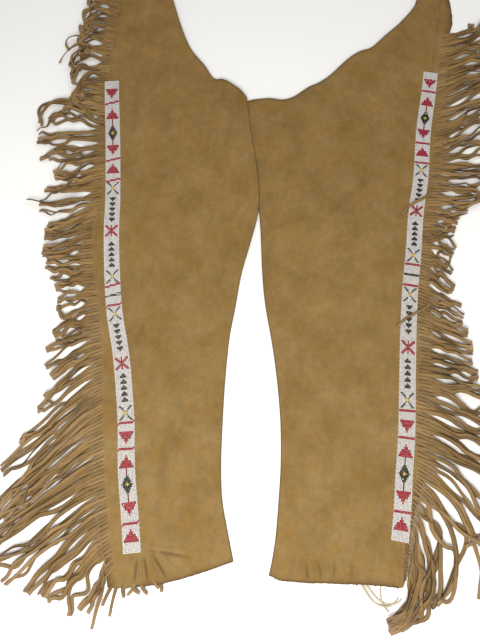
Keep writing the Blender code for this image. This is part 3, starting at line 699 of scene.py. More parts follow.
grid_x = grid_corner[0] + height_cell * (np.arange(heights.shape[0])[:, None] + 0.5)
grid_y = grid_corner[1] + height_cell * (np.arange(heights.shape[1])[None, :] + 0.5)
for seam, roots, out in ((left_seam, left_roots, -1), (right_seam, right_roots, 1)):
    seam_x = across_at(edge_line(seam), grid_y)
    root_x = across_at(edge_line(roots), grid_y)
    level = (grid_y > seam[0].y) & (grid_y < seam[-1].y)
    past_seam = out * (grid_x - seam_x)
    past_root = out * (grid_x - root_x)
    heights[level & (past_seam > 0) & (past_root < 0)] = (flap_low + flap_high) / 2
    heights[level & (past_seam > 0) & (past_root < -slit_length)] = flap_high
    heights[level & (past_seam <= 0) & (past_seam > -150)] = leg_top + 1.6
    heights[level & (past_seam <= 6) & (past_seam > -18)] = leg_top + 2.4


def lay_strand(route, half_width, tilt, held):
    """Heights of a strand's middle: it rests on what is under it and passes over it gently."""
    thick = 0.3 * half_width
    half_high = np.abs(half_width * np.sin(tilt)) + thick * np.cos(tilt)
    way = np.gradient(route, axis=0)
    way /= np.hypot(*way.T)[:, None]
    span = half_width * np.cos(tilt) + 0.4
    under = np.zeros(len(route))
    touched = []
    for share in (-1, -0.5, 0, 0.5, 1):
        x = route[:, 0] - way[:, 1] * span * share
        y = route[:, 1] + way[:, 0] * span * share
        cells = cells_of(x, y)
        touched.append(cells)
        under = np.maximum(under, heights[cells])
    run = np.concatenate([[0], np.cumsum(np.hypot(*np.diff(route, axis=0).T))])
    want = under + half_high + 0.15
    apart = np.abs(run[:, None] - run[None, :])
    middle = (want[None, :] - steepest * apart).max(axis=1)
    eased = np.convolve(np.pad(middle, 1, mode="edge"), [0.25, 0.5, 0.25], mode="valid")
    middle = np.maximum(eased, want - 0.2)
    middle = np.where(middle > 7, 7 + 0.45 * (middle - 7), middle)
    if held:
        middle = np.minimum(middle, (flap_low + 3 * flap_high) / 4 + 0.08 * run)
    for cells in touched:
        heights[cells] = np.maximum(heights[cells], middle + half_high)
    return middle


def strand_guides(name, routes, seed, lifted=(), half_width=strand_half_width, twist=1.0, held=True):
    """One line of edges for each strand, with its width, twist and tone at each point."""
    draw = random.Random(seed)
    order = list(range(len(routes)))
    draw.shuffle(order)
    order.sort(key=lambda number: number in lifted)
    points, edges, widths, tilts, tones, shares = [], [], [], [], [], []
    for number in order:
        route = routes[number]
        share = np.linspace(0, 1, len(route))
        wide = half_width * draw.uniform(0.82, 1.2)
        widths_here = wide * (1 - 0.2 * share**1.5 + 0.06 * np.sin(9 * share + draw.uniform(0, 6)))
        first = route[3] - route[0]
        narrow = 0.47 * strand_pitch * abs(first[0]) / math.hypot(*first) if held else wide
        loose = soft_step((share - 0.08) / 0.2)
        widths_here = np.minimum(widths_here, narrow + loose * wide)
        swing = draw.uniform(0.2, 1.0) * twist
        tilt = swing * np.sin(draw.uniform(0, 6) + draw.uniform(3, 9) * share) * soft_step(share / 0.3)
        middle = lay_strand(route, widths_here, tilt, held)
        start = len(points)
        points.extend((x, y, z) for (x, y), z in zip(route, middle))
        edges.extend((start + i, start + i + 1) for i in range(len(route) - 1))
        widths.extend(widths_here)
        tilts.extend(tilt)
        tones.extend([draw.random()] * len(route))
        shares.extend(share)
    mesh = bpy.data.meshes.new(name)
    places = (np.array(points) - (centre_x, centre_y, 0)) * MM
    mesh.from_pydata(places.tolist(), edges, [])
    for mark, values in (("half_width", np.array(widths) * MM), ("twist", tilts), ("tone", tones), ("along", shares)):
        mesh.attributes.new(mark, "FLOAT", "POINT").data.foreach_set("value", np.asarray(values, np.float32))
    made = bpy.data.objects.new(name, mesh)
    bpy.context.scene.collection.objects.link(made)
    return made


def strand_tree():
    """Turns guide lines into flat strands with rounded corners, their sides marked for painted shade."""
    tree = bpy.data.node_groups.new("cut_strands", "GeometryNodeTree")
    group_socket(tree, "Guides", "INPUT", "NodeSocketGeometry")
    group_socket(tree, "Thickness Share", "INPUT", "NodeSocketFloat", 0.3)
    group_socket(tree, "Hide", "INPUT", "NodeSocketMaterial")
    group_socket(tree, "Strands", "OUTPUT", "NodeSocketGeometry")
    inlet = add(tree, "NodeGroupInput", (-1200, 0))
    outlet = add(tree, "NodeGroupOutput", (1000, 0))
    lines = add(tree, "GeometryNodeMeshToCurve", (-900, 200))
    width = add(tree, "GeometryNodeInputNamedAttribute", (-900, -50), data_type="FLOAT")
    width.inputs["Name"].default_value = "half_width"
    twist = add(tree, "GeometryNodeInputNamedAttribute", (-900, -250), data_type="FLOAT")
    twist.inputs["Name"].default_value = "twist"
    level = add(tree, "GeometryNodeSetCurveNormal", (-700, 200), mode="Z_UP")
    twisted = add(tree, "GeometryNodeSetCurveTilt", (-300, 200))
    ring = add(tree, "GeometryNodeCurvePrimitiveCircle", (-900, -500))
    ring.inputs["Resolution"].default_value = 8
    ring.inputs["Radius"].default_value = 1
    place = add(tree, "GeometryNodeInputPosition", (-900, -700))
    split = add(tree, "ShaderNodeSeparateXYZ", (-700, -700))
    turned = add(tree, "ShaderNodeVectorRotate", (-800, -850), rotation_type="Z_AXIS")
    turned.inputs["Angle"].default_value = math.pi / 8
    join = add(tree, "ShaderNodeCombineXYZ", (0, -600))
    squared = []
    for height in (-700, -900):
        size = add(tree, "ShaderNodeMath", (-520, height), operation="ABSOLUTE")
        power = add(tree, "ShaderNodeMath", (-360, height), operation="POWER")
        power.inputs[1].default_value = 0.45
        sign = add(tree, "ShaderNodeMath", (-520, height - 100), operation="SIGN")
        signed = add(tree, "ShaderNodeMath", (-180, height), operation="MULTIPLY")
        tree.links.new(size.outputs[0], power.inputs[0])
        tree.links.new(power.outputs[0], signed.inputs[0])
        tree.links.new(sign.outputs[0], signed.inputs[1])
        squared.append((size, sign, signed))
    thin = add(tree, "ShaderNodeMath", (-80, -900), operation="MULTIPLY")
    shape = add(tree, "GeometryNodeSetPosition", (200, -500))
    # Painted shade: the side points of the profile get the edge mark, which darkens each strand's sides.
    side = add(tree, "FunctionNodeCompare", (200, -800), data_type="FLOAT", operation="GREATER_THAN")
    side.inputs["B"].default_value = 0.9
    mark = add(tree, "GeometryNodeStoreNamedAttribute", (400, -500), data_type="FLOAT", domain="POINT")
    mark.inputs["Name"].default_value = "edge_wear_and_shade"
    solid = add(tree, "GeometryNodeCurveToMesh", (500, 100))
    solid.inputs["Fill Caps"].default_value = True
    real = add(tree, "GeometryNodeRealizeInstances", (660, 100))
    dyed = add(tree, "GeometryNodeSetMaterial", (820, 100))
    wires = [
        (inlet.outputs["Guides"], lines.inputs["Mesh"]),
        (lines.outputs["Curve"], level.inputs["Curve"]),
        (level.outputs["Curve"], twisted.inputs["Curve"]),
        (width.outputs["Attribute"], solid.inputs["Scale"]),
        (twist.outputs["Attribute"], twisted.inputs["Tilt"]),
        (place.outputs["Position"], turned.inputs["Vector"]),
        (turned.outputs["Vector"], split.inputs["Vector"]),
        (split.outputs["X"], squared[0][0].inputs[0]),
        (split.outputs["X"], squared[0][1].inputs[0]),
        (split.outputs["Y"], squared[1][0].inputs[0]),
        (split.outputs["Y"], squared[1][1].inputs[0]),
        (squared[0][2].outputs[0], join.inputs["X"]),
        (squared[1][2].outputs[0], thin.inputs[0]),
        (inlet.outputs["Thickness Share"], thin.inputs[1]),
        (thin.outputs[0], join.inputs["Y"]),
        (ring.outputs["Curve"], mark.inputs["Geometry"]),
        (squared[0][0].outputs[0], side.inputs["A"]),
        (side.outputs["Result"], mark.inputs["Value"]),
        (mark.outputs["Geometry"], shape.inputs["Geometry"]),
        (join.outputs["Vector"], shape.inputs["Position"]),
        (twisted.outputs["Curve"], solid.inputs["Curve"]),
        (shape.outputs["Geometry"], solid.inputs["Profile Curve"]),
        (solid.outputs["Mesh"], real.inputs["Geometry"]),
        (real.outputs["Geometry"], dyed.inputs["Geometry"]),
        (inlet.outputs["Hide"], dyed.inputs["Material"]),
        (dyed.outputs["Geometry"], outlet.inputs["Strands"]),
    ]
    for start, end in wires:
        tree.links.new(start, end)
    return tree


def grown(name, guides, tree, values):
    """The plain mesh that a tree makes from its guides, with the tree's inputs set by name."""
    modifier = guides.modifiers.new("grow", "NODES")
    modifier.node_group = tree
    for item in tree.interface.items_tree:
        if item.item_type == "SOCKET" and item.name in values:
            modifier[item.identifier] = values[item.name]
    seen = guides.evaluated_get(bpy.context.evaluated_depsgraph_get())
    mesh = bpy.data.meshes.new_from_object(seen)
    mesh.name = name
    mesh.shade_smooth()
    mesh.set_sharp_from_angle(angle=math.radians(50))
    bpy.data.objects.remove(guides)
    made = bpy.data.objects.new(name, mesh)
    bpy.context.scene.collection.objects.link(made)
    return made


def fringe_finish(name, pale, deep, warm):
    """The hide of the strands: each with its own tone, painted shade along its sides, faded towards the root, and
    paler tips from wear.
    """
    material = hide_finish(name, pale, deep, warm, 520)
    tree = material.node_tree
    shader = tree.nodes["Principled BSDF"]
    wear_shade_mix = shader.inputs["Base Color"].links[0].from_node
    inner = wear_shade_mix.outputs["Result"]
    edge = wear_shade_mix.inputs["Factor"].links[0].from_socket
    # Painted shade along the strand sides, faded to 0.15 near the roots where the strands lie close together.
    loose = add(tree, "ShaderNodeMapRange", (-420, 800))
    loose.inputs["From Min"].default_value = 0.06
    loose.inputs["From Max"].default_value = 0.35
    loose.inputs["To Min"].default_value = 0.15
    edge_shade_along = add(tree, "ShaderNodeMath", (-260, 300), operation="MULTIPLY")
    tone = add(tree, "ShaderNodeAttribute", (-240, 600), attribute_name="tone")
    along = add(tree, "ShaderNodeAttribute", (-240, 800), attribute_name="along")
    shade = add(tree, "ShaderNodeMapRange", (-60, 600))
    shade.inputs["To Min"].default_value = 0.78
    shade.inputs["To Max"].default_value = 1.16
    toned = add(tree, "ShaderNodeMix", (100, 400), data_type="RGBA", blend_type="MULTIPLY")
    toned.inputs["Factor"].default_value = 1
    tip = add(tree, "ShaderNodeMapRange", (-60, 800))
    tip.inputs["From Min"].default_value = 0.75
    tip.inputs["To Max"].default_value = 0.35
    tipped = add(tree, "ShaderNodeMix", (260, 400), data_type="RGBA")
    tipped.inputs["B"].default_value = (0.36, 0.25, 0.16, 1)
    wires = [
        (along.outputs["Fac"], loose.inputs["Value"]),
        (edge, edge_shade_along.inputs[0]),
        (loose.outputs["Result"], edge_shade_along.inputs[1]),
        (edge_shade_along.outputs["Value"], wear_shade_mix.inputs["Factor"]),
        (tone.outputs["Fac"], shade.inputs["Value"]),
        (inner, toned.inputs["A"]),
        (shade.outputs["Result"], toned.inputs["B"]),
        (along.outputs["Fac"], tip.inputs["Value"]),
        (tip.outputs["Result"], tipped.inputs["Factor"]),
        (toned.outputs["Result"], tipped.inputs["A"]),
        (tipped.outputs["Result"], shader.inputs["Base Color"]),
    ]
    for start, end in wires:
        tree.links.new(start, end)
    return material


fringe_hide = fringe_finish("fringe_hide", (0.285, 0.190, 0.090), (0.205, 0.130, 0.054), (0.30, 0.175, 0.060))
cut_strands = strand_tree()


def flap_hide(name, seam, roots, out, lobe, seed):
    """The flap between the seam and the cuts: the lower hide, and the upper one less its strands."""
    levels = np.linspace(0, 1, 260)
    seam_line, root_line = edge_line(seam), edge_line(roots)
    seam_y = seam[0].y + levels * (seam[-1].y - seam[0].y)
    seam_x = across_at(seam_line, seam_y) + out * 0.5
    root_x, root_y = curve_through(roots, levels)
    ragged = 3.0 * uneven(root_x, root_y, 9, seed)
    middle = (flap_low + flap_high) / 2
    outline = [
        (0.0, leg_top + 0.05, -5.0), (0.0, leg_top + 0.4, -5.0), (0.0, leg_top + 0.5, -3.5),
        (0.0, flap_high + 0.35, 1.5), (0.5, flap_high + 0.4, -slit_length),
        (1.0, flap_high, -slit_length), (1.0, flap_high - 1.0, -slit_length + 0.5),
        (1.0, middle, -slit_length), (1.0, middle, -3.0), (1.0, middle - 0.8, -1.5),
        (1.0, flap_low, -2.5), (0.5, flap_low, 0), (0.03, flap_low, 0), (0.0, leg_top - 1.2, 0.4),
        (0.0, leg_top + 0.05, -1.0),
    ]
    rings = []
    for share, height, back in outline:
        past = back + (ragged if share == 1.0 and height > middle else 0.4 * ragged * share)
        x = seam_x + share * (root_x - seam_x) + out * past * (min(1.0, 2 * share) if share else 1)
        y = seam_y + share * (root_y - seam_y)
        y = y - lobe * (0.0, 9.0, 15.0)[int(2 * share)] * np.exp(-levels * 1080 / 18)
        wave = 0.3 * uneven(x, y, 18, seed + 2) if share == 0.5 and height > middle else 0.0
        rings.append(np.stack([x, y, np.full_like(x, height) + wave], axis=-1))
    rings = np.stack(rings, axis=1)
    rows, around = rings.shape[:2]
    row = np.arange(rows - 1)[:, None] * around
    ring = np.arange(around)
    after = (ring + 1) % around
    faces = np.stack([row + ring, row + after, row + around + after, row + around + ring], axis=-1)
    faces = faces.reshape(-1, 4).tolist()
    faces.append(ring.tolist())
    faces.append(((rows - 1) * around + ring).tolist())
    mesh = bpy.data.meshes.new(name)
    places = (rings.reshape(-1, 3) - (centre_x, centre_y, 0)) * MM
    mesh.from_pydata(places.tolist(), [], faces)
    # Partly wear and partly painted shade: dark marks where the flap tucks under the leg and along the step at the
    # strand roots.
    edge_wear_shade = np.tile([0.6, 0.3] + [0] * 6 + [0.6, 0.6] + [0] * 5, rows).astype(np.float32)
    mesh.attributes.new("edge_wear_and_shade", "FLOAT", "POINT").data.foreach_set("value", edge_wear_shade)
    mesh.attributes.new("tone", "FLOAT", "POINT").data.foreach_set("value", 0.6 + 0 * edge_wear_shade)
    shape = bmesh.new()
    shape.from_mesh(mesh)
    bmesh.ops.recalc_face_normals(shape, faces=shape.faces)
    shape.to_mesh(mesh)
    shape.free()
    mesh.shade_smooth()
    mesh.set_sharp_from_angle(angle=math.radians(50))
    made = bpy.data.objects.new(name, mesh)
    bpy.context.scene.collection.objects.link(made)
    return made


for side, seam, roots, lies, arches, curls, strays, top, seed in (
    ("left", left_seam, left_roots, left_lie, left_arches, left_curl, left_stray, 672.0, 21),
    ("right", right_seam, right_roots, right_lie, right_arches, right_curl, right_stray, 542.0, 34),
):
    routes, lifted = fringe_routes(side, roots, lies, arches, curls, strays, top, seed)
    guides = strand_guides(side + "_fringe_guides", routes, seed + 1, lifted)
    values = {"Thickness Share": 0.3, "Hide": fringe_hide}
    strands = grown(side + "_fringe_strands", guides, cut_strands, values)
    lobe = 1.0 if side == "left" else 0.3
    flap = flap_hide(side + "_fringe_flap", seam, roots, -1 if side == "left" else 1, lobe, seed)
    flap.data.materials.append(golden_hide)
    for piece in (flap, strands):
        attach(piece, "root")
        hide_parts("fringe_" + side)

# Loose strands and tags
# Small tags of hide hang from the left hem where its corner was trimmed, two strands lie
# across the right band, and thin pale thongs loop out from behind the right hem.
Tag = namedtuple("Tag", "x y length start end")

left_tags = [
    Tag(-111, -369, 19, -62, -96), Tag(-121, -370, 17, -50, -40), Tag(-135, -371, 22, -80, -30),
    Tag(-142, -372, 22, -104, -150), Tag(-148, -373, 21, -70, -20), Tag(-158, -374, 20, -96, -60),
    Tag(-166, -372, 46, -108, -98), Tag(-172, -374, 32, -120, -110),
]
crossing_strands = [Tag(312, 219, 66, -148, -138), Tag(291, 25, 62, -150, -136)]
pale_thongs = [
    Tag(161, -374, 70, -62, 52), Tag(167, -375, 64, -56, 44), Tag(189, -377, 38, -100, -30),
]


def tag_routes(tags, curl, seed):
    draw = random.Random(seed)
    routes = []
    for tag in tags:
        lie = Fringe(tag.y, tag.length, tag.start, tag.end)
        routes.append(strand_route((tag.x, tag.y), 1, lie, curl, draw.uniform(0, 6))[3:])
    return routes


pale_hide = fringe_finish("pale_thong_hide", (0.58, 0.50, 0.38), (0.44, 0.35, 0.24), (0.55, 0.42, 0.27))
for name, tags, curl, half_width, finish, replaced, held in (
    ("left_hem_tags", left_tags, 1.0, 2.3, fringe_hide, "leg_left", True),
    ("right_crossing_strands", crossing_strands, 3.0, 2.2, fringe_hide, "fringe_right", False),
    ("right_pale_thongs", pale_thongs, 2.0, 1.2, pale_hide, "fringe_right", True),
):
    routes = tag_routes(tags, curl, 9)
    guides = strand_guides(name + "_guides", routes, 3, (), half_width, 0.4, held)
    values = {"Thickness Share": 0.36, "Hide": finish}
    loose = grown(name, guides, cut_strands, values)
    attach(loose, "root")
    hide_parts(replaced)

# The bead bands
# A loomed strip of small glass beads lies over each side seam: thirteen beads across, rows
# as close as the beads are thick, warp threads between them, white with crimson, black,
# dark green and yellow figures of a common geometric kind that mirror about a black bar.
bead_columns = 13
bead_rows = 420
band_width = 24.0
band_inset = 6.0
band_low_side = {"left": -337.0, "right": -322.0}
band_length = 773.0
bead_paints = {
    "white": (0.64, 0.62, 0.61), "crimson": (0.37, 0.006, 0.036), "wine": (0.19, 0.005, 0.02),
    "black": (0.005, 0.006, 0.008), "green": (0.008, 0.032, 0.015), "yellow": (0.72, 0.50, 0.09),
}
# How far the rows sit above even spacing along each band, and how its bars lean above and
# below the middle
row_drift = {
    "left": ([0, 0.05, 0.3, 0.5, 0.65, 0.87, 1], [0, -2, -7, -10.5, -12, -11, 0]),
    "right": ([0, 0.12, 0.22, 0.38, 0.55, 0.65, 0.87, 1], [0, -4, -4, 3, 10.5, 8.5, 4, 3]),
}
bar_leans = {"left": (0.17, 0.1), "right": (-0.08, -0.02)}
# Figures of a half band, outwards from the middle: kind, first row, rows, paint, and whether
# it points away from the middle
half_chart = [
    ("bar", 0, 1, "black", True), ("bar", 8, 2, "crimson", True), ("cross", 11, 12, "green", True),
    ("spike", 26, 4, "black", True), ("spike", 36, 4, "black", True), ("spike", 31, 4, "black", True),
    ("spike", 41, 4, "black", True), ("spike", 46, 4, "black", True),
    ("star", 55, 11, "crimson", True),
    ("spike", 69, 4, "black", False), ("spike", 74, 4, "black", False),
    ("spike", 79, 4, "black", False), ("spike", 84, 4, "black", False),
    ("spike", 89, 4, "black", False), ("cross", 96, 12, "green", True),
    ("bar", 109, 2, "crimson", True), ("stair", 117, 10, "crimson", True),
    ("bar", 130, 2, "crimson", True), ("stair", 136, 10, "crimson", False),
    ("stem", 146, 6, "wine", True), ("diamond", 151, 15, "black", True),
    ("stem", 165, 7, "wine", True), ("stair", 172, 10, "crimson", True),
    ("bar", 187, 2, "crimson", True), ("stair", 192, 10, "crimson", False),
]


def figure_bead(kind, row, rows, across, outward, paint):
    """The paint of a bead in a figure, or None where the ground shows. across is from -6 to 6."""
    middle = (rows - 1) / 2
    aside = abs(across)
    if kind == "bar":
        return paint
    if kind == "stem":
        return paint if aside < 1 else None
    if kind == "stair":
        step = (row if outward else rows - 1 - row) // 2
        reach = (5, 4, 3, 1, 0)[step]
        if aside > reach:
            return None
        return "wine" if aside == reach and step in (0, 2) else paint
    if kind == "spike":
        step = row if outward else rows - 1 - row
        return paint if aside <= (2, 2, 1, 0)[step] else None
    if kind == "cross":
        if abs(row - middle) < 1 and aside <= 1:
            return "yellow"
        return paint if abs(aside - abs(row - middle) * 0.78) < 0.8 else None
    if kind == "star":
        if aside < 1:
            return "wine"
        return paint if abs(aside - abs(row - middle)) < 1.1 and aside <= 5 else None
    reach = 4.4 * (1 - abs(row - middle) / (middle + 1))
    if aside > reach:
        return None
    if aside + abs(row - middle) < 1.6:
        return "yellow"
    return "green" if aside > reach - 1 else paint


def bead_chart(leans, seed):
    """The paint of every bead, from the low end up."""
    draw = random.Random(seed)
    chart = [["white"] * bead_columns for _ in range(bead_rows)]
    for half, lean in zip((1, -1), leans):
        for kind, first, rows, paint, outward in half_chart:
            for step in range(rows):
                for column in range(bead_columns):
                    across = column - bead_columns // 2
                    found = figure_bead(kind, step, rows, across, outward, paint)
                    slope = round(lean * across) if kind == "bar" else 0
                    row = bead_rows // 2 + half * (first + step) - (half < 0) + slope
                    if found and 0 <= row < bead_rows:
                        chart[row][column] = found
    for _ in range(24):
        chart[draw.randrange(bead_rows)][draw.randrange(bead_columns)] = "white"
    return chart


def band_line(side, seam):
    """Middle points and turns of a band, from its low end up."""
    inward = 1 if side == "left" else -1
    share = (np.arange(bead_rows) + 0.5) / bead_rows
    y = band_low_side[side] + share * band_length + np.interp(share, *row_drift[side])
    line = edge_line(seam)
    x = across_at(line, y)
    x = np.convolve(np.pad(x, 15, mode="reflect", reflect_type="odd"), np.ones(31) / 31, mode="valid")
    return x + inward * band_inset, y, -np.arctan(np.gradient(x, y))


def bead_points(name, side, seam, seed):
    """A point for each bead, with its turn, size and paint."""
    draw = np.random.default_rng(seed)
    middle, level, turn = band_line(side, seam)
    chart = bead_chart(bar_leans[side], seed)
    pitch = band_width / bead_columns
    across = (np.arange(bead_columns) - bead_columns // 2) * pitch
    x = middle[:, None] + across * np.cos(turn)[:, None] + draw.normal(0, 0.07, (bead_rows, bead_columns))
    y = level[:, None] + across * np.sin(turn)[:, None] + draw.normal(0, 0.07, (bead_rows, bead_columns))
    z = leg_top + 1.35 + 0.25 * uneven(level, level, 26, 2.0)[:, None] + draw.normal(0, 0.06, x.shape)
    places = (np.stack([x, y, z], axis=-1).reshape(-1, 3) - (centre_x, centre_y, 0)) * MM
    mesh = bpy.data.meshes.new(name)
    mesh.from_pydata(places.tolist(), [], [])
    paints = np.array([[bead_paints[paint] for paint in row] for row in chart]).reshape(-1, 3)
    paints = paints * draw.uniform(0.86, 1.06, (len(paints), 1))
    paints = np.hstack([np.clip(paints, 0, 1), np.ones((len(paints), 1))]).astype(np.float32)
    mesh.attributes.new("paint", "FLOAT_COLOR", "POINT").data.foreach_set("color", paints.ravel())
    turns = np.repeat(turn, bead_columns).astype(np.float32)
    mesh.attributes.new("turn", "FLOAT", "POINT").data.foreach_set("value", turns)
    sizes = draw.uniform(0.92, 1.04, len(places)).astype(np.float32)
    mesh.attributes.new("size", "FLOAT", "POINT").data.foreach_set("value", sizes)
    made = bpy.data.objects.new(name, mesh)
    bpy.context.scene.collection.objects.link(made)
    return made


def bead_tree():
    """Sets a small barrel on each point, its hole across the band."""
    tree = bpy.data.node_groups.new("loomed_beads", "GeometryNodeTree")
    group_socket(tree, "Places", "INPUT", "NodeSocketGeometry")
    group_socket(tree, "Bead Length", "INPUT", "NodeSocketFloat", 0.0018)
    group_socket(tree, "Bead Width", "INPUT", "NodeSocketFloat", 0.0018)
    group_socket(tree, "Finish", "INPUT", "NodeSocketMaterial")
    group_socket(tree, "Set", "OUTPUT", "NodeSocketGeometry")
    inlet = add(tree, "NodeGroupInput", (-900, 0))
    outlet = add(tree, "NodeGroupOutput", (900, 0))
    ball = add(tree, "GeometryNodeMeshUVSphere", (-700, -300), Segments=6, Rings=3, Radius=0.577)
    scale = add(tree, "ShaderNodeCombineXYZ", (-700, -500))
    barrel = add(tree, "GeometryNodeTransform", (-450, -300))
    barrel.inputs["Rotation"].default_value = (0, math.pi / 2, 0)
    sized = add(tree, "GeometryNodeTransform", (-250, -300))
    smooth = add(tree, "GeometryNodeSetShadeSmooth", (-80, -300))
    turn = add(tree, "GeometryNodeInputNamedAttribute", (-450, 300), data_type="FLOAT")
    turn.inputs["Name"].default_value = "turn"
    turned = add(tree, "ShaderNodeCombineXYZ", (-250, 300))
    size = add(tree, "GeometryNodeInputNamedAttribute", (-450, 100), data_type="FLOAT")
    size.inputs["Name"].default_value = "size"
    placed = add(tree, "GeometryNodeInstanceOnPoints", (150, 0))
    real = add(tree, "GeometryNodeRealizeInstances", (400, 0))
    dyed = add(tree, "GeometryNodeSetMaterial", (620, 0))
    wires = [
        (inlet.outputs["Places"], placed.inputs["Points"]),
        (ball.outputs["Mesh"], barrel.inputs["Geometry"]),
        (inlet.outputs["Bead Length"], scale.inputs["X"]),
        (inlet.outputs["Bead Width"], scale.inputs["Y"]),
        (inlet.outputs["Bead Width"], scale.inputs["Z"]),
        (barrel.outputs["Geometry"], sized.inputs["Geometry"]),
        (scale.outputs["Vector"], sized.inputs["Scale"]),
        (sized.outputs["Geometry"], smooth.inputs["Geometry"]),
        (smooth.outputs["Geometry"], placed.inputs["Instance"]),
        (turn.outputs["Attribute"], turned.inputs["Z"]),
        (turned.outputs["Vector"], placed.inputs["Rotation"]),
        (size.outputs["Attribute"], placed.inputs["Scale"]),
        (placed.outputs["Instances"], real.inputs["Geometry"]),
        (real.outputs["Geometry"], dyed.inputs["Geometry"]),
        (inlet.outputs["Finish"], dyed.inputs["Material"]),
        (dyed.outputs["Geometry"], outlet.inputs["Set"]),
    ]
    for start, end in wires:
        tree.links.new(start, end)
    return tree


def bead_glass():
    """Opaque seed-bead glass in the paint of each bead, slightly uneven in gloss."""
    material = bpy.data.materials.new("bead_glass")
    material.use_nodes = True
    tree = material.node_tree
    shader = tree.nodes["Principled BSDF"]
    shader.inputs["Specular IOR Level"].default_value = 0.25
    shader.inputs["Coat Weight"].default_value = 0.06
    shader.inputs["Coat Roughness"].default_value = 0.2
    paint = add(tree, "ShaderNodeAttribute", (-500, 100), attribute_name="paint")
    place = add(tree, "ShaderNodeTexCoord", (-700, -200))
    speck = add(tree, "ShaderNodeTexNoise", (-500, -200), Scale=700, Detail=2)
    gloss = add(tree, "ShaderNodeMapRange", (-260, -200))
    gloss.inputs["To Min"].default_value = 0.25
    gloss.inputs["To Max"].default_value = 0.55
    tree.links.new(paint.outputs["Color"], shader.inputs["Base Color"])
    tree.links.new(place.outputs["Object"], speck.inputs["Vector"])
    tree.links.new(speck.outputs["Fac"], gloss.inputs["Value"])
    tree.links.new(gloss.outputs["Result"], shader.inputs["Roughness"])
    return material


def thread_finish():
    """Pale waxed thread with a fine twist."""
    material = bpy.data.materials.new("waxed_thread")
    material.use_nodes = True
    tree = material.node_tree
    shader = tree.nodes["Principled BSDF"]
    shader.inputs["Roughness"].default_value = 0.7
    place = add(tree, "ShaderNodeTexCoord", (-900, 0))
    fibre = add(tree, "ShaderNodeTexNoise", (-700, 0), Scale=900, Detail=3)
    dyed = add(tree, "ShaderNodeMix", (-400, 100), data_type="RGBA")
    dyed.inputs["A"].default_value = (0.40, 0.33, 0.23, 1)
    dyed.inputs["B"].default_value = (0.62, 0.55, 0.43, 1)
    bump = add(tree, "ShaderNodeBump", (-400, -200), Strength=0.4, Distance=0.0002)
    tree.links.new(place.outputs["Object"], fibre.inputs["Vector"])
    tree.links.new(fibre.outputs["Fac"], dyed.inputs["Factor"])
    tree.links.new(dyed.outputs["Result"], shader.inputs["Base Color"])
    tree.links.new(fibre.outputs["Fac"], bump.inputs["Height"])
    tree.links.new(bump.outputs["Normal"], shader.inputs["Normal"])
    return material


def band_base(name, side, seam):
    """The warp threads of a band, as one thin ribbed ribbon under its beads."""
    middle, level, turn = band_line(side, seam)
    ribs = 2 * bead_columns + 1
    across = np.linspace(-0.5, 0.5, ribs) * (band_width + 0.6)
    rib_high = leg_top + 0.75 + 0.28 * (np.arange(ribs) % 2 == 0)
    low = np.full(ribs, leg_top + 0.3)
    profile_x = np.concatenate([across, across[::-1]])
    profile_z = np.concatenate([rib_high, low])
    keep = np.linspace(0, bead_rows - 1, 120).astype(int)
    middle, level, turn = middle[keep], level[keep], turn[keep]
    level[0] -= 1.2
    level[-1] += 1.2
    x = middle[:, None] + profile_x * np.cos(turn)[:, None]
    y = level[:, None] + profile_x * np.sin(turn)[:, None]
    rings = np.stack([x, y, np.broadcast_to(profile_z, x.shape)], axis=-1)
    rows, around = rings.shape[:2]
    row = np.arange(rows - 1)[:, None] * around
    ring = np.arange(around)
    after = (ring + 1) % around
    faces = np.stack([row + ring, row + after, row + around + after, row + around + ring], axis=-1)
    faces = faces.reshape(-1, 4).tolist()
    faces.append(ring.tolist())
    faces.append(((rows - 1) * around + ring).tolist())
    mesh = bpy.data.meshes.new(name)
    mesh.from_pydata(((rings.reshape(-1, 3) - (centre_x, centre_y, 0)) * MM).tolist(), [], faces)
    shape = bmesh.new()
    shape.from_mesh(mesh)
    bmesh.ops.recalc_face_normals(shape, faces=shape.faces)
    shape.to_mesh(mesh)
    shape.free()
    made = bpy.data.objects.new(name, mesh)
    bpy.context.scene.collection.objects.link(made)
    return made


bead_glass_finish = bead_glass()
waxed_thread = thread_finish()
loomed_beads = bead_tree()
for side, seam, seed in (("left", left_seam, 5), ("right", right_seam, 6)):
    places = bead_points(side + "_bead_places", side, seam, seed)
    values = {"Bead Length": 0.00186, "Bead Width": 0.00182, "Finish": bead_glass_finish}
    beads = grown(side + "_band_beads", places, loomed_beads, values)
    base = band_base(side + "_band_threads", side, seam)
    base.data.materials.append(waxed_thread)
    for piece in (beads, base):
        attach(piece, "root")
        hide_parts("bead_band_" + side)

# The belt tunnels
# A strip of the same hide is folded over at the end of each hip tab and sewn down on its
# front. The waist belt runs through it, and the photograph's upper edge hides it.
loop_width = 38.0
loop_depth = 44.0
loop_inside = 5.6
loop_lap = 26.0


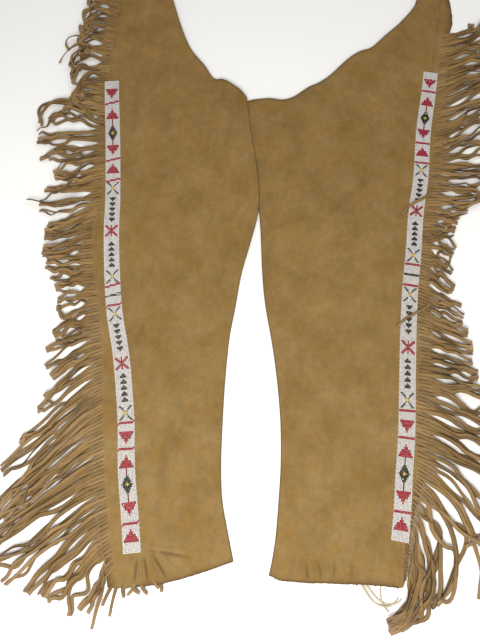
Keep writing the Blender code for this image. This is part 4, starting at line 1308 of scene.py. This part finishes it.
def belt_tunnel(name, top, seam, seed):
    """The folded strip as one thin shell, swept along its bend."""
    tab_y = top[-1].y
    middle = (top[-1].x + seam[-1].x) / 2
    bend = (loop_inside + hide_thickness) / 2
    low = hide_thickness / 2
    lap = leg_top + 0.3 + hide_thickness / 2
    spine = [(tab_y + 0.3 + (loop_depth - 0.3) * step / 10, low) for step in range(10)]
    for turn in np.radians(np.linspace(-90, 90, 13)):
        spine.append((
            tab_y + loop_depth + bend * math.cos(turn), low + bend + bend * math.sin(turn)
        ))
    high = low + 2 * bend
    for step in range(1, 9):
        spine.append((tab_y + loop_depth * (1 - step * 0.09), high))
    for step in range(9):
        share = step / 8
        y = tab_y + loop_depth * 0.22 - (loop_depth * 0.22 + loop_lap) * share
        spine.append((y, high + (lap - high) * float(soft_step(share * 2.2))))
    spine = np.array(spine)
    way = np.gradient(spine, axis=0)
    way /= np.hypot(*way.T)[:, None]
    normal = np.stack([way[:, 1], -way[:, 0]], axis=-1)
    half = hide_thickness / 2
    corner = 0.35
    across = np.linspace(-0.5, 0.5, 14) * (loop_width - 2 * corner)
    profile = [(-loop_width / 2, half - corner), *((a, half) for a in across)]
    profile += [(loop_width / 2, half - corner), (loop_width / 2, corner - half)]
    profile += [*((a, -half) for a in across[::-1]), (-loop_width / 2, corner - half)]
    profile = np.array(profile)
    wave = 0.18 * uneven(profile[:, 0], profile[:, 0], 11, seed)
    x = middle + profile[None, :, 0] + 0.5 * uneven(spine[:, 0], spine[:, 1], 15, seed)[:, None]
    out = profile[None, :, 1] + wave * np.sin(np.linspace(0, math.pi, len(spine)))[:, None]
    y = spine[:, [0]] + normal[:, [0]] * out
    z = spine[:, [1]] + normal[:, [1]] * out
    rings = np.stack([np.broadcast_to(x, y.shape), y, z], axis=-1)
    rows, around = rings.shape[:2]
    row = np.arange(rows - 1)[:, None] * around
    ring = np.arange(around)
    after = (ring + 1) % around
    faces = np.stack([row + ring, row + after, row + around + after, row + around + ring], axis=-1)
    faces = faces.reshape(-1, 4).tolist()
    faces.append(ring.tolist())
    faces.append(((rows - 1) * around + ring).tolist())
    # Partly wear and partly painted shade: the trimmed sides of the strip are marked dark.
    side = (np.abs(profile[:, 0]) > loop_width / 2 - 0.1).astype(np.float32)
    mesh = bpy.data.meshes.new(name)
    mesh.from_pydata(((rings.reshape(-1, 3) - (centre_x, centre_y, 0)) * MM).tolist(), [], faces)
    mesh.attributes.new("edge_wear_and_shade", "FLOAT", "POINT").data.foreach_set("value", np.tile(side, rows))
    shape = bmesh.new()
    shape.from_mesh(mesh)
    bmesh.ops.recalc_face_normals(shape, faces=shape.faces)
    shape.to_mesh(mesh)
    shape.free()
    mesh.shade_smooth()
    mesh.set_sharp_from_angle(angle=math.radians(60))
    made = bpy.data.objects.new(name, mesh)
    bpy.context.scene.collection.objects.link(made)
    return made


for side, top, seam, seed in (("left", left_top, left_seam, 3.0), ("right", right_top, right_seam, 8.0)):
    tunnel = belt_tunnel(side + "_belt_tunnel", top, seam, seed)
    tunnel.data.materials.append(golden_hide)
    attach(tunnel, "root")
    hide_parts("belt_loop_" + side)

# The sewing
# Short stitches in the hide's own colour run along both side seams and hold the laps of the
# belt tunnels in two rows, and waxed thread whips the edges of the bands to the hide.
seam_stitch = 5.2
whip_stitch = 7.0


def stitch_row(x, y, z, spacing, slant):
    """Places and turns of stitches along a line, each turned from it by the slant."""
    run = np.concatenate([[0], np.cumsum(np.hypot(np.diff(x), np.diff(y)))])
    want = np.arange(spacing / 2, run[-1], spacing)
    places = np.stack([np.interp(want, run, value) for value in (x, y, z)], axis=-1)
    turns = np.arctan2(np.gradient(places[:, 1]), np.gradient(places[:, 0]))
    return places, turns + math.radians(slant)


def stitch_places(name, rows, seed):
    """A point for each stitch of one side."""
    draw = np.random.default_rng(seed)
    places = np.vstack([row[0] for row in rows])
    turns = np.concatenate([row[1] for row in rows]) + draw.normal(0, 0.05, len(places))
    mesh = bpy.data.meshes.new(name)
    mesh.from_pydata(((places - (centre_x, centre_y, 0)) * MM).tolist(), [], [])
    for mark, values in (("turn", turns), ("size", draw.uniform(0.85, 1.1, len(places)))):
        held = mesh.attributes.new(mark, "FLOAT", "POINT")
        held.data.foreach_set("value", values.astype(np.float32))
    made = bpy.data.objects.new(name, mesh)
    bpy.context.scene.collection.objects.link(made)
    return made


for side, top, seam, out in (("left", left_top, left_seam, -1), ("right", right_top, right_seam, 1)):
    line = edge_line(seam)
    band_low = band_low_side[side]
    sinew_rows, whip_rows = [], []
    for low, high in ((seam[0].y + 4, band_low - 2), (band_low + band_length + 2, seam[-1].y - 4)):
        y = np.linspace(low, high, 80)
        x = across_at(line, y) - out * 1.6
        sinew_rows.append(stitch_row(x, y, np.full_like(y, leg_top + 0.62), seam_stitch, 6))
    middle, level, turn = band_line(side, seam)
    for edge in (-1, 1):
        x = middle + edge * (band_width / 2 + 0.2) * np.cos(turn)
        y = level + edge * (band_width / 2 + 0.2) * np.sin(turn)
        whip_rows.append(stitch_row(x, y, np.full_like(y, leg_top + 0.8), whip_stitch, 68))
    tab_middle = (top[-1].x + seam[-1].x) / 2
    for drop in (8.0, 22.0):
        x = np.linspace(tab_middle - loop_width / 2 + 3, tab_middle + loop_width / 2 - 3, 20)
        y = np.full_like(x, top[-1].y - drop)
        sinew_rows.append(stitch_row(x, y, np.full_like(x, leg_top + 1.95), 4.0, 0))
    for kind, rows, finish in (("seam", sinew_rows, golden_hide), ("band", whip_rows, waxed_thread)):
        name = side + "_" + kind + "_stitches"
        places = stitch_places(name + "_places", rows, 12)
        values = {"Bead Length": 0.0034, "Bead Width": 0.0009, "Finish": finish}
        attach(grown(name, places, loomed_beads, values), "root")
